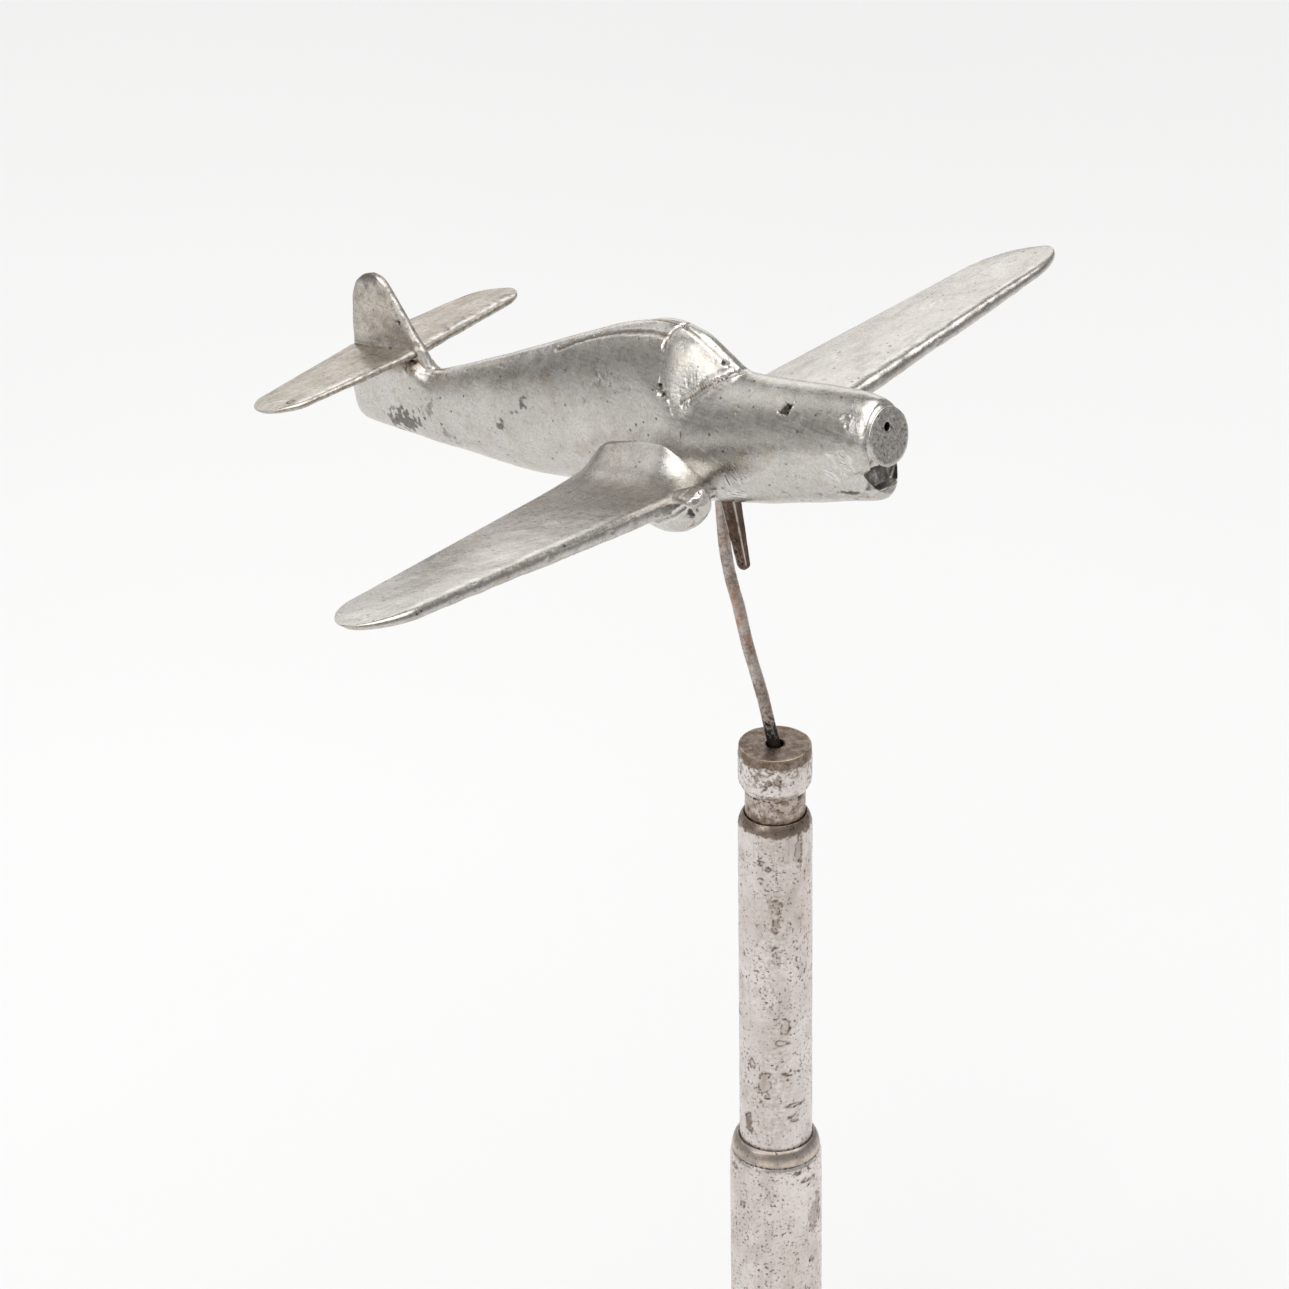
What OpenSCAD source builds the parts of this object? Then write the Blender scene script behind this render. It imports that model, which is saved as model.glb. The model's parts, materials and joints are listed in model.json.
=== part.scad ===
// Model aeroplane on a bent wire, standing in a telescopic desk post with a weighted base.
// Origin: centre of the base's underside. +Z up along the post, the aeroplane's nose towards +X.

/* [Aeroplane] */
// Wing span, tip to tip
wing_span = 179; // [160:1:190]
// Chord of the wing on the centreline
wing_root_chord = 31.8; // [28:0.2:34]
// Chord of the wing where its tip starts to round
wing_tip_chord = 14.8; // [12:0.2:18]
// Thickest part of the wing on the centreline
wing_root_thick = 4.2; // [3.4:0.1:5]
// Thickest part of the wing near the tip
wing_tip_thick = 1.9; // [1.4:0.1:2.4]
// Rise of each wing tip above the centreline
wing_dihedral = 9.6; // [6:0.2:11]
// Span of the tailplane
tail_span = 63; // [56:1:70]
// How far the nose points up
pitch = 13; // [8:0.5:16]
// How far the aeroplane leans to starboard
bank = 1; // [0:0.5:3]
// Diameter of the hole for the propeller pin
prop_hole_d = 1.4; // [1:0.1:2]
// Depth of the hole for the propeller pin
prop_hole_depth = 8; // [5:0.5:12]

/* [Wire and tang] */
// Diameter of the support wire
wire_d = 2.2; // [1.8:0.1:2.4]
// How far the wire reaches down into the head
wire_pin_depth = 22; // [15:1:26]
// Width of the tang where it leaves the belly
tang_w = 3.9; // [3.2:0.1:4.6]
// Length of the tang below the belly
tang_drop = 12; // [8:0.5:16]

/* [Post] */
// Outside diameter of the lower tube
lower_d = 16.5; // [16.5:0.5:20]
// Outside diameter of the middle tube
middle_d = 13; // [12.8:0.1:13.2]
// Outside diameter of the inner tube
inner_d = 10.6; // [10.4:0.1:10.8]
// Diameter of the head knob
head_d = 12.9; // [12.5:0.1:13]
// Height of the head knob
head_h = 8.4; // [7:0.1:10]
// Part of the inner tube that shows between the knob and the middle tube
inner_shown = 4.9; // [4:0.1:20]
// Part of the middle tube that shows above the lower tube
middle_shown = 66.8; // [40:0.1:70]
// Height of the lower tube's mouth above the table
lower_top = 110; // [105:1:130]

/* [Base] */
// Diameter of the base
base_d = 100; // [90:1:120]
// Height of the base, with its pad
base_h = 15; // [14:0.5:20]
// Thickness of the felt pad
felt_t = 1.5; // [1:0.1:2]

/* [Hidden] */

// Heights along the post
middle_top = lower_top + middle_shown;
head_bottom = middle_top + inner_shown;
head_top = head_bottom + head_h;

// Where the centre of the propeller hole stands, from the centre of the head's top
nose_x = 24.6;
nose_rise = 69.2;

// Running clearances, on radius
tube_gap = 0.05;
wire_gap = 0.05;

// Fuselage stations: [x behind the nose, half width, top, bottom, height of the widest level]
stations = [
    [-0.8, 5.2, 4.0, -12.0, -3.6], [-1.5, 5.6, 4.6, -12.7, -3.8], [-2.8, 5.95, 5.1, -13.2, -4.0],
    [-5, 6.3, 5.6, -13.5, -4.2],
    [-10, 6.7, 5.9, -14.0, -4.2], [-20, 7.4, 6.3, -15.2, -4.4], [-28, 7.9, 6.6, -16.1, -4.8],
    [-30.5, 8.0, 7.2, -16.3, -5.0], [-33.5, 8.1, 9.8, -16.5, -5.0], [-38, 8.2, 13.6, -16.8, -5.2],
    [-45, 8.2, 15.5, -17.0, -5.4], [-53, 7.8, 14.6, -17.0, -5.4], [-63, 7.0, 12.3, -16.7, -5.4],
    [-75, 5.9, 9.0, -16.3, -5.4], [-87, 4.8, 5.7, -15.8, -5.6], [-99, 3.8, 2.8, -14.2, -5.8],
    [-105.5, 3.3, 1.3, -13.2, -5.9], [-107.5, 3.1, 1.9, -12.9, -6.0], [-109.5, 3.0, 3.3, -12.6, -6.0],
    [-113, 2.8, 3.6, -12.0, -6.0], [-120, 2.4, 3.6, -10.8, -6.0], [-126, 2.0, 3.5, -9.7, -5.9],
    [-127.6, 1.4, 2.8, -8.9, -5.8]];
// Share of the width lost towards the top (canopy) and towards the bottom (chin), against x;
// below zero the sides are fuller, as in the seat under the tailplane
canopy_pinch = [[-140, -0.9], [-110, -0.9], [-105, 0.0], [-95, 0.05], [-70, 0.16], [-52, 0.22],
                [-40, 0.22], [-31, 0.05], [0, 0.0]];
chin_pinch = [[-140, 0.04], [-30, 0.04], [-12, 0.06], [0, 0.2]];
// The windscreen is rounded in plan: its sides stand further back, by this share of the width squared
screen_bend = 0.2;
screen_front = -20;
screen_back = -47;

nose_r = 4.9;
nose_disc_z = -1.7;
nose_boss_h = 6;
chin_z = -8.4;
chin_r = 1.6;
chin_half_w = 1.6;
chin_depth = 3.6;
// The chin's front stands back below the nose disc
chin_front_x = -1.9;
chin_front_z = -6.8;

// Wing lines
wing_z = -13;
wing_le_root = -36.8;
wing_le_tip = -32.4;
wing_tip_round = 11;
saddle_top = -9.6;
saddle_front = -34.3;
saddle_len = 36;

// Tailplane and fin lines
tail_z = 4.1;
tail_le_root = -109;
tail_le_tip = -112;
tail_root_chord = 18;
tail_tip_chord = 11.2;
tail_tip_round = 6;
tail_thick = 1.7;
fin_foot_z = -3;
fin_top_z = 19.4;
fin_thick = 2.6;

// Gear fairings
fairing_y = 14;
fairing_nose_x = -31.4;
fairing_tail_x = -50;

// Wire route from the head's top, in the post's XZ plane
wire_route = [[0, -2.5], [-0.1, -0.5], [-0.7, 1.4], [-3.1, 9.2], [-6.1, 17], [-8.2, 24.1],
              [-10.3, 30.2], [-11.4, 36], [-11.9, 42], [-12.2, 49], [-12.3, 55]];
wire_head_clear = 2.6;

// Walls of the tubes and what sits in them
tube_wall = 0.9;
middle_lip_h = 2.3;
lower_lip_h = 3.9;
bush_h = 8;
middle_len = 86;
inner_len = 78;
foot_z = base_h - 4;
plug_h = 10;
bolt_d = 6;

// ---------- helpers ----------

// Smooth curve through the rows of a table whose first column runs downwards
function row(t, i) = t[max(0, min(len(t) - 1, i))];
function seg(t, x, i = 0) = (i >= len(t) - 2 || x >= t[i + 1][0]) ? i : seg(t, x, i + 1);
function slope(t, i, k) =
    (row(t, i + 1)[k] - row(t, i - 1)[k]) / (row(t, i + 1)[0] - row(t, i - 1)[0]);
function hermite(a, b, ma, mb, u) =
    a * (1 + 2 * u) * pow(1 - u, 2) + b * u * u * (3 - 2 * u)
    + ma * u * pow(1 - u, 2) - mb * u * u * (1 - u);
function curve(t, x, k) =
    let (i = seg(t, x), w = t[i + 1][0] - t[i][0], u = (x - t[i][0]) / w)
    hermite(t[i][k], t[i + 1][k], slope(t, i, k) * w, slope(t, i + 1, k) * w, u);

// Smooth step from 0 to 1
function ease(t) = let (u = min(1, max(0, t))) u * u * (3 - 2 * u);

// Closed solid through rings of points, each ring with the same count
module skin(rings) {
    n = len(rings[0]);
    m = len(rings);
    sides = [for (i = [0:m - 2], j = [0:n - 1])
        [i * n + j, i * n + (j + 1) % n, (i + 1) * n + (j + 1) % n, (i + 1) * n + j]];
    first = [for (j = [n - 1:-1:0]) j];
    last = [for (j = [0:n - 1]) (m - 1) * n + j];
    tris = [for (q = sides) each [[q[0], q[1], q[2]], [q[0], q[2], q[3]]]];
    polyhedron(points = [for (r = rings) each r], faces = concat(tris, [first, last]), convexity = 6);
}

// Half thickness of a rounded section at share s of the chord
function half_thick(s, t) =
    t * (1.48 * sqrt(s) - 0.55 * s - 1.76 * s * s + 1.42 * pow(s, 3) - 0.5 * pow(s, 4));

// Ring of [along the chord, across it] points: over the top to the trailing edge and back below
foil_steps = 9;
function foil(le, te, t) = [for (i = [0:2 * foil_steps - 1])
    let (a = i * 180 / foil_steps, s = (1 - cos(a)) / 2, c = te - le)
    [le + c * s, (i <= foil_steps ? 1 : -1) * half_thick(s, t)]];

// Rounded tip: share of the chord left at distance y on a half span h whose last r is rounded
function tip_share(y, h, r) = y <= h - r ? 1 : sqrt(max(0, 1 - pow((y - h + r) / r, 2)));

// Stations along a half span, closer together in the rounded tip
tip_steps = 6;
function span_steps(h, r) = concat([0, 0.06 * h, 0.2 * h, 0.45 * h, 0.7 * h],
    [for (i = [0:tip_steps]) h - r + r * sin(i * 83 / tip_steps)]);
function both_sides(v) = concat([for (i = [len(v) - 1:-1:1]) -v[i]], v);

// The aeroplane's own frame: x forward from the nose face, z up
module at_plane() {
    translate([nose_x, 0, head_top + nose_rise]) rotate([bank, -pitch, 0]) children();
}

// ---------- aeroplane ----------

ring_steps = 28;
function body_ring(x) =
    let (w = curve(stations, x, 1), low = curve(stations, x, 3), mid = curve(stations, x, 4),
         pinch = lookup(x, canopy_pinch), chin = lookup(x, chin_pinch),
         bend = screen_bend * ease((x - screen_back) / 9) * ease((screen_front - x) / 6))
    [for (j = [0:ring_steps - 1])
        let (a = j * 360 / ring_steps, up = sin(a) > 0,
             y = w * cos(a) * (1 - (up ? pinch : chin) * pow(sin(a), 2)),
             top = curve(stations, x + bend * y * y, 2))
        [x, y, mid + (up ? top - mid : mid - low) * sin(a)]];
body_steps = 44;
body_from = stations[0][0];
body_to = stations[len(stations) - 1][0];
function body_x(i) = body_from + (body_to - body_from) * i / body_steps;

module body_solid() skin([for (i = [0:body_steps]) body_ring(body_x(i))]);

module wing_shape() {
    h = wing_span / 2;
    skin([for (y = both_sides(span_steps(h, wing_tip_round)))
        let (s = abs(y) / h, c = wing_root_chord + (wing_tip_chord - wing_root_chord) * s,
             le = wing_le_root + (wing_le_tip - wing_le_root) * s,
             k = tip_share(abs(y), h, wing_tip_round), mid = le - c * 0.45,
             t = (wing_root_thick + (wing_tip_thick - wing_root_thick) * s) * (0.25 + 0.75 * k))
        [for (p = foil(mid + c * k * 0.45, mid - c * k * 0.55, t))
            [p[0], y, wing_z + wing_dihedral * s + p[1]]]]);
}

// The belly's centre section, between the wing's edges and below the saddle
module saddle_box() {
    translate([saddle_front - saddle_len, -15, -30]) cube([saddle_len, 30, 30 + saddle_top]);
}

module prop_hole() {
    translate([-prop_hole_depth, 0, 0]) rotate([0, 90, 0])
        cylinder(h = prop_hole_depth + 1, d = prop_hole_d, $fn = 32);
}

// Shallow intake with round ends in the front of the chin, which stands back below the nose disc
module chin_intake() {
    translate([chin_front_x, -10, chin_front_z - 20]) cube([10, 20, 20]);
    translate([-chin_depth, 0, chin_z]) rotate([90, 0, 90]) linear_extrude(height = chin_depth + 1) {
        square([2 * chin_half_w, 2 * chin_r], center = true);
        for (side = [-1, 1]) translate([side * chin_half_w, 0]) circle(r = chin_r, $fn = 32);
    }
}

module nose_boss() {
    translate([-nose_boss_h, 0, nose_disc_z]) rotate([0, 90, 0])
        cylinder(h = nose_boss_h, r1 = nose_r + 0.1, r2 = nose_r, $fn = 48);
}

module fuselage() {
    color("silver") difference() {
        at_plane() difference() {
            union() {
                body_solid();
                nose_boss();
            }
            chin_intake();
            prop_hole();
            saddle_box();
            wing_shape();
            fin_shape();
            tail_shape();
        }
        support_wire_solid();
    }
}

module wing() {
    color("silver") difference() {
        at_plane() {
            wing_shape();
            intersection() {
                body_solid();
                saddle_box();
            }
        }
        support_wire_solid();
        mounting_tang_solid();
    }
}

module tail_shape() {
    h = tail_span / 2;
    skin([for (y = both_sides(span_steps(h, tail_tip_round)))
        let (s = abs(y) / h, c = tail_root_chord + (tail_tip_chord - tail_root_chord) * s,
             le = tail_le_root + (tail_le_tip - tail_le_root) * s,
             k = tip_share(abs(y), h, tail_tip_round), mid = le - c / 2,
             t = tail_thick * (1 - 0.3 * s) * (0.3 + 0.7 * k))
        [for (p = foil(mid + c * k / 2, mid - c * k / 2, t)) [p[0], y, tail_z + p[1]]]]);
}

module tailplane() {
    color("gray") at_plane() tail_shape();
}

// Fin: [height, leading edge, trailing edge]
fin_lines = [[fin_foot_z, -104.5, -126.4], [1, -106.6, -126.4], [4.3, -107.8, -126], [9.5, -110.4, -125],
             [14.8, -112.9, -123.6], [17.6, -114.3, -121.8], [19, -115.9, -119.6], [fin_top_z, -117, -118.2]];
module fin_shape() {
    skin([for (r = fin_lines)
        let (t = fin_thick * (1 - 0.45 * (r[0] - fin_foot_z) / (fin_top_z - fin_foot_z)))
        [for (p = foil(r[1], r[2], t)) [p[0], -p[1], r[0]]]]);
}

module fin() {
    color("gray") at_plane() difference() {
        fin_shape();
        tail_shape();
    }
}

// Trouser fairing: [x, half width, top, bottom]
fairing_lines = [[fairing_nose_x, 1.2, -9.6, -11.6], [-32.1, 2.3, -9.0, -13.4], [-34.2, 3.0, -8.8, -15.5],
                 [-37, 3.2, -9.4, -16.6], [-41, 2.9, -10.3, -16.6], [-45.5, 2.0, -11.2, -15.4],
                 [fairing_tail_x, 0.5, -12.2, -13.4]];
fairing_steps = 20;
module fairing_shape() {
    skin([for (r = fairing_lines)
        [for (j = [0:fairing_steps - 1])
            let (a = j * 360 / fairing_steps)
            [r[0], r[1] * cos(a), (r[2] + r[3]) / 2 + (r[2] - r[3]) / 2 * sin(a)]]]);
}

module gear_fairing(side) {
    color("silver") at_plane() difference() {
        translate([0, side * fairing_y, 0]) fairing_shape();
        wing_shape();
    }
}

module starboard_gear_fairing() gear_fairing(-1);
module port_gear_fairing() gear_fairing(1);

// ---------- wire and tang ----------

// Round bar of radius r swept along a route in the XZ plane
wire_sides = 16;
function route_dir(v, i) =
    let (a = row(v, i + 1) - row(v, i - 1)) a / norm(a);
module bar(v, r) {
    skin([for (i = [0:len(v) - 1])
        let (d = route_dir(v, i))
        [for (j = [0:wire_sides - 1])
            let (a = -j * 360 / wire_sides)
            [v[i][0] + r * cos(a) * d[1], r * sin(a), v[i][1] - r * cos(a) * d[0]]]]);
}

module support_wire_solid() {
    translate([0, 0, head_top]) {
        bar(wire_route, wire_d / 2);
        translate([0, 0, -wire_pin_depth]) cylinder(h = wire_pin_depth - 2, d = wire_d, $fn = 32);
    }
}

module support_wire() {
    color("dimgray") support_wire_solid();
}

// Tapered tongue with a round end, hanging out of the belly beside the wire
tang_x = -38;
tang_y = -1.5;
tang_root_z = -11.5;
tang_tip_z = -17 - tang_drop;
tang_thick = 2.3;
tang_tip_r = 1.25;
tang_tip_thick = 1.1;
module mounting_tang_solid() {
    at_plane() translate([tang_x, tang_y, 0]) hull() {
        translate([-tang_w / 2, -tang_thick / 2, tang_root_z - 1]) cube([tang_w, tang_thick, 1]);
        translate([0, 0, tang_tip_z + tang_tip_r]) rotate([90, 0, 0])
            cylinder(h = tang_tip_thick, r = tang_tip_r, center = true, $fn = 32);
    }
}

module mounting_tang() {
    color("saddlebrown") difference() {
        mounting_tang_solid();
        support_wire_solid();
    }
}

// ---------- post ----------

head_skirt_h = 1.6;
head_band_h = 2.1;
module head_knob() {
    r = head_d / 2;
    color("gainsboro") translate([0, 0, head_bottom]) difference() {
        rotate_extrude($fn = 64) polygon([
            [0, -wire_pin_depth], [inner_d / 2 - tube_wall, -wire_pin_depth],
            [inner_d / 2 - tube_wall, 0], [inner_d / 2 + 0.3, 0], [r, head_skirt_h],
            [r, head_h - head_band_h], [r - 0.15, head_h], [0, head_h]]);
        translate([0, 0, head_h - wire_pin_depth - 0.5])
            cylinder(h = wire_pin_depth + 2, r = wire_d / 2 + wire_gap, $fn = 48);
        translate([0, 0, head_h - wire_head_clear])
            cylinder(h = wire_head_clear + 1, r1 = wire_d / 2 + wire_gap, r2 = wire_d / 2 + 0.6, $fn = 48);
    }
}

// Tube with a mouth rolled in at the top: outside, bore and mouth radius, height of the rolled part
mouth_edge = 0.25;
module plated_tube(bottom, top, r, bore_r, mouth_r, lip_h) {
    h = top - bottom;
    edge_r = mouth_r + mouth_edge;
    translate([0, 0, bottom]) rotate_extrude($fn = 72) polygon(concat(
        [[bore_r, 0], [r, 0]],
        [for (a = [0:15:90]) [edge_r + (r - edge_r) * cos(a), h - lip_h + lip_h * sin(a)]],
        [[mouth_r, h - mouth_edge], [mouth_r, h - lip_h], [bore_r, h - lip_h - (bore_r - mouth_r)]]));
}

// Seat turned down on a tube's foot for its bush
module bush_seat(bottom, r, seat_r) {
    translate([0, 0, bottom + 1]) rotate_extrude($fn = 72)
        translate([seat_r, 0]) square([r, bush_h]);
}

inner_seat_r = inner_d / 2 - 0.45;
middle_seat_r = middle_d / 2 - 0.45;
middle_bore_r = middle_d / 2 - tube_wall;
lower_bore_r = lower_d / 2 - tube_wall;

module inner_tube() {
    color("tan") difference() {
        translate([0, 0, head_bottom - inner_len]) rotate_extrude($fn = 72)
            translate([inner_d / 2 - tube_wall, 0]) square([tube_wall, inner_len]);
        bush_seat(head_bottom - inner_len, inner_d / 2, inner_seat_r);
    }
}

module middle_tube() {
    color("gainsboro") difference() {
        plated_tube(middle_top - middle_len, middle_top, middle_d / 2, middle_bore_r, inner_d / 2 + tube_gap,
            middle_lip_h);
        bush_seat(middle_top - middle_len, middle_d / 2, middle_seat_r);
    }
}

module lower_tube() {
    color("gainsboro") plated_tube(foot_z, lower_top, lower_d / 2, lower_bore_r, middle_d / 2 + tube_gap,
        lower_lip_h);
}

// Spring bush with one slot along it
bush_slot = 1;
module split_bush(bottom, r_in, r_out) {
    translate([0, 0, bottom + 1]) difference() {
        rotate_extrude($fn = 72) translate([r_in, 0]) square([r_out - r_in, bush_h]);
        translate([0, -bush_slot / 2, -1]) cube([r_out + 1, bush_slot, bush_h + 2]);
    }
}

module inner_split_bush() {
    color("goldenrod") split_bush(head_bottom - inner_len, inner_seat_r, middle_bore_r - tube_gap);
}

module middle_split_bush() {
    color("goldenrod") split_bush(middle_top - middle_len, middle_seat_r, lower_bore_r - tube_gap);
}

// ---------- base ----------

bolt_seat = 3.2;
cover_wall = 1.2;
rim_r = 4;
rim_h = base_h - 4.5;
boss_r = lower_d / 2 + 4;
boss_fillet = 3;
module tube_foot_plug() {
    color("goldenrod") translate([0, 0, foot_z]) difference() {
        cylinder(h = plug_h, r = lower_bore_r, $fn = 72);
        translate([0, 0, -1]) cylinder(h = plug_h - 3, d = bolt_d, $fn = 48);
    }
}

// Outline of the stepped cover, inset by w: a rounded rim, a flat and a raised boss
module cover_outline(w) {
    r = base_d / 2;
    low = w > 0 ? -1 : felt_t;
    polygon(concat(
        [[0, low], [r - w, low], [r - w, rim_h - rim_r]],
        [for (a = [15:15:90]) [r - rim_r + (rim_r - w) * cos(a), rim_h - rim_r + (rim_r - w) * sin(a)]],
        [[boss_r + boss_fillet, rim_h - w]],
        [for (a = [15:15:75]) [boss_r + boss_fillet - (boss_fillet + w) * sin(a), rim_h + boss_fillet
            - (boss_fillet + w) * cos(a)]],
        [[boss_r - w, rim_h + boss_fillet], [boss_r - w, base_h - w], [0, base_h - w]]));
}

module base_cover() {
    color("gainsboro") difference() {
        rotate_extrude($fn = 96) cover_outline(0);
        rotate_extrude($fn = 96) cover_outline(cover_wall);
        cylinder(h = base_h + 1, d = lower_d, $fn = 72);
    }
}

module base_weight() {
    color("dimgray") difference() {
        rotate_extrude($fn = 96) intersection() {
            cover_outline(cover_wall);
            translate([0, felt_t]) square([base_d, foot_z]);
        }
        translate([0, 0, foot_z]) cylinder(h = base_h, d = lower_d, $fn = 72);
        cylinder(h = base_h, d = bolt_d + 0.4, $fn = 48);
        cylinder(h = felt_t + bolt_seat + 1, d = bolt_d * 2.4, $fn = 48);
    }
}

module base_washer() {
    color("darkgray") translate([0, 0, felt_t + bolt_seat]) difference() {
        cylinder(h = 1, d = bolt_d * 2.2, $fn = 48);
        translate([0, 0, -1]) cylinder(h = 3, d = bolt_d + 0.4, $fn = 48);
    }
}

module base_bolt() {
    color("darkgray") translate([0, 0, felt_t + 0.2]) {
        cylinder(h = bolt_seat - 0.2, d = bolt_d * 1.8, $fn = 6);
        cylinder(h = foot_z + plug_h - felt_t - 4.5, d = bolt_d, $fn = 48);
    }
}

module felt_pad() {
    color("darkgreen") cylinder(h = felt_t, r = base_d / 2 - cover_wall, $fn = 96);
}

// ---------- output ----------

fuselage();
wing();
tailplane();
fin();
starboard_gear_fairing();
port_gear_fairing();
mounting_tang();
support_wire();
head_knob();
inner_tube();
inner_split_bush();
middle_tube();
middle_split_bush();
lower_tube();
tube_foot_plug();
base_cover();
base_weight();
base_bolt();
base_washer();
felt_pad();
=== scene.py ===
"""Looks of the model aeroplane on its telescopic desk post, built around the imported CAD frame.
Shapes are written in millimetres, and turned into metres when their mesh is made."""
import json
import math

import bpy
import numpy as np
from mathutils import Matrix, Vector


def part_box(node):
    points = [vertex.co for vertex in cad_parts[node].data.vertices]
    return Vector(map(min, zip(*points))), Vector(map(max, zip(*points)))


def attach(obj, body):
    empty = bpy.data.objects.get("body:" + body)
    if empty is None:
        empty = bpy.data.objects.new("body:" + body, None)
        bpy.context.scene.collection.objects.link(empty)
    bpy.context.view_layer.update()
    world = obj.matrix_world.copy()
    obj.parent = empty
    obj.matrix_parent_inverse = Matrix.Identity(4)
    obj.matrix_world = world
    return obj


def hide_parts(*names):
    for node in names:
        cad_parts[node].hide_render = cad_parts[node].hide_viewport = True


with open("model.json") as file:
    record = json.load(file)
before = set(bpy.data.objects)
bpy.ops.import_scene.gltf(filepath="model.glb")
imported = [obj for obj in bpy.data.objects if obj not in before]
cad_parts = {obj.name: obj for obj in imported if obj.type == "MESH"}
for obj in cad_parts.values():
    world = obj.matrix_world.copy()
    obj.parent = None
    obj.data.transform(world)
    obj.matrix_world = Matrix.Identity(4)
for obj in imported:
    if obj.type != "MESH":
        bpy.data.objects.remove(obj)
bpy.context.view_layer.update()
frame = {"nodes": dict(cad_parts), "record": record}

MM = 0.001
TAU = 2 * math.pi
MASKS = ("dark", "brown", "bright")
WAVES = 20  # cosine waves that make up a random field


# ---------- numbers and fields ----------

def smooth(t):
    t = np.clip(t, 0, 1)
    return t * t * (3 - 2 * t)


def bell(t):
    """1 at t = 0, falling smoothly to nearly nothing at 2 on either side."""
    return np.exp(-t ** 2)


def field(p, size, seed):
    """Smooth random field of the points p, about -1 to 1, with bumps of this size in mm."""
    rng = np.random.default_rng(seed)
    d = rng.normal(size=(WAVES, 3))
    d /= np.linalg.norm(d, axis=1)[:, None]
    k = d * (TAU / size) * rng.uniform(0.6, 1.5, (WAVES, 1))
    return np.cos(p @ k.T + rng.uniform(0, TAU, WAVES)).sum(1) * math.sqrt(2 / WAVES) / 1.6


def cloud(p, size, seed, base, gain=1):
    """Soft random patches, 0 to 1: more of them with a higher base, and crisper with a higher gain."""
    return smooth(base + gain * field(p, size, seed))


def turn(count):
    """Angles of this many points round a circle."""
    return np.arange(count) * TAU / count


def points(x, y, z):
    return np.stack(np.broadcast_arrays(x, y, z), -1)


def curve(table, x, column):
    """Smooth curve through the rows of a table whose first column runs downwards."""
    t = np.array(table, float)
    keys, v = t[:, 0], t[:, column]
    lo = np.r_[0, np.arange(len(t) - 1)]
    hi = np.r_[np.arange(1, len(t)), len(t) - 1]
    slope = (v[hi] - v[lo]) / (keys[hi] - keys[lo])
    i = np.clip(np.searchsorted(-keys, -x, side="right") - 1, 0, len(t) - 2)
    w = keys[i + 1] - keys[i]
    u = (x - keys[i]) / w
    return (v[i] * (1 + 2 * u) * (1 - u) ** 2 + v[i + 1] * u * u * (3 - 2 * u)
            + slope[i] * w * u * (1 - u) ** 2 - slope[i + 1] * w * u * u * (1 - u))


def line(table, x, column=1):
    t = np.array(sorted(table), float)
    return np.interp(x, t[:, 0], t[:, column])


class Relief:
    """Height in mm, and masks of wear, stains, painted shade and painted highlights, over a set of points."""

    def __init__(self, p):
        self.p = p
        self.h = np.zeros(len(p))
        self.mask = {k: np.zeros(len(p)) for k in MASKS}

    def near(self, path, reach):
        low, high = path.min(0) - reach, path.max(0) + reach
        return np.flatnonzero(((self.p > low) & (self.p < high)).all(1))

    def paint_wear_and_light(self, amount, at=slice(None), **masks):
        """Raises each named mask to its share of this amount, where it is lower."""
        for k, share in masks.items():
            self.mask[k][at] = np.maximum(self.mask[k][at], share * amount)

    def distance(self, path, reach):
        path = np.array(path, float).reshape(-1, 3)
        at = self.near(path, reach)
        q = self.p[at]
        best = np.linalg.norm(q - path[0], axis=1)
        for a, b in zip(path[:-1], path[1:]):
            ab = b - a
            t = np.clip((q - a) @ ab / (ab @ ab), 0, 1)
            best = np.minimum(best, np.linalg.norm(q - a - t[:, None] * ab, axis=1))
        return at, q, best

    def groove(self, path, width, depth, lip=0.0, **masks):
        """A cut along a path, half as wide as width each side, with a raised lip that gets a painted
        highlight.
        """
        at, q, d = self.distance(path, 4 * width)
        d = d / width * 2 * (1 + 0.18 * field(q, 1.4, 5))
        cut = np.exp(-d ** 4 * 0.7)
        self.h[at] -= depth * cut
        edge = bell((d - 1.7) / 0.6)
        self.h[at] += lip * edge
        self.paint_wear_and_light(cut, at, **masks)
        # painted highlight along the raised lip of every groove
        self.paint_wear_and_light(0.6 * edge if lip else 0, at, bright=1)

    def pit(self, centre, size, depth, lip=0.0, **masks):
        """A hollow of this radius, or these radii along x, y and z."""
        size = np.ones(3) * size
        c = np.array(centre, float)
        at = self.near(c[None], 2.6 * size.max())
        q = self.p[at]
        d = np.linalg.norm((q - c) / size, axis=1) * (1 + 0.25 * field(q, 1.6 * size.min(), 9))
        cut = 1 - smooth((d - 0.65) / 0.4)
        self.h[at] -= depth * cut
        self.h[at] += lip * bell((d - 1.25) / 0.3)
        self.paint_wear_and_light(cut, at, **masks)

    def patch(self, centre, size, ragged, grain, soft, seed, **masks):
        """A stained patch with a ragged outline."""
        size = np.ones(3) * size
        c = np.array(centre, float)
        at = self.near(c[None], 1.8 * size.max())
        q = self.p[at]
        d = np.linalg.norm((q - c) / size, axis=1) + ragged * field(q, grain, seed)
        inside = smooth((1 - d) / soft)
        self.paint_wear_and_light(inside, at, **masks)


# ---------- meshes ----------

def grid_normals(g):
    du = np.gradient(g, axis=0)
    dv = np.roll(g, -1, 1) - np.roll(g, 1, 1)
    n = np.cross(dv, du)
    length = np.linalg.norm(n, axis=2, keepdims=True)
    return n / np.maximum(length, 1e-12)


def volume(g):
    """Signed volume inside the grid's rings, for telling which way it faces."""
    a, b = g[:-1], g[1:]
    a2, b2 = np.roll(a, -1, 1), np.roll(b, -1, 1)
    c = g.reshape(-1, 3).mean(0)
    a, b, a2, b2 = a - c, b - c, a2 - c, b2 - c
    return ((a * np.cross(a2, b2)).sum() + (a * np.cross(b2, b)).sum()) / 6


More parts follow.
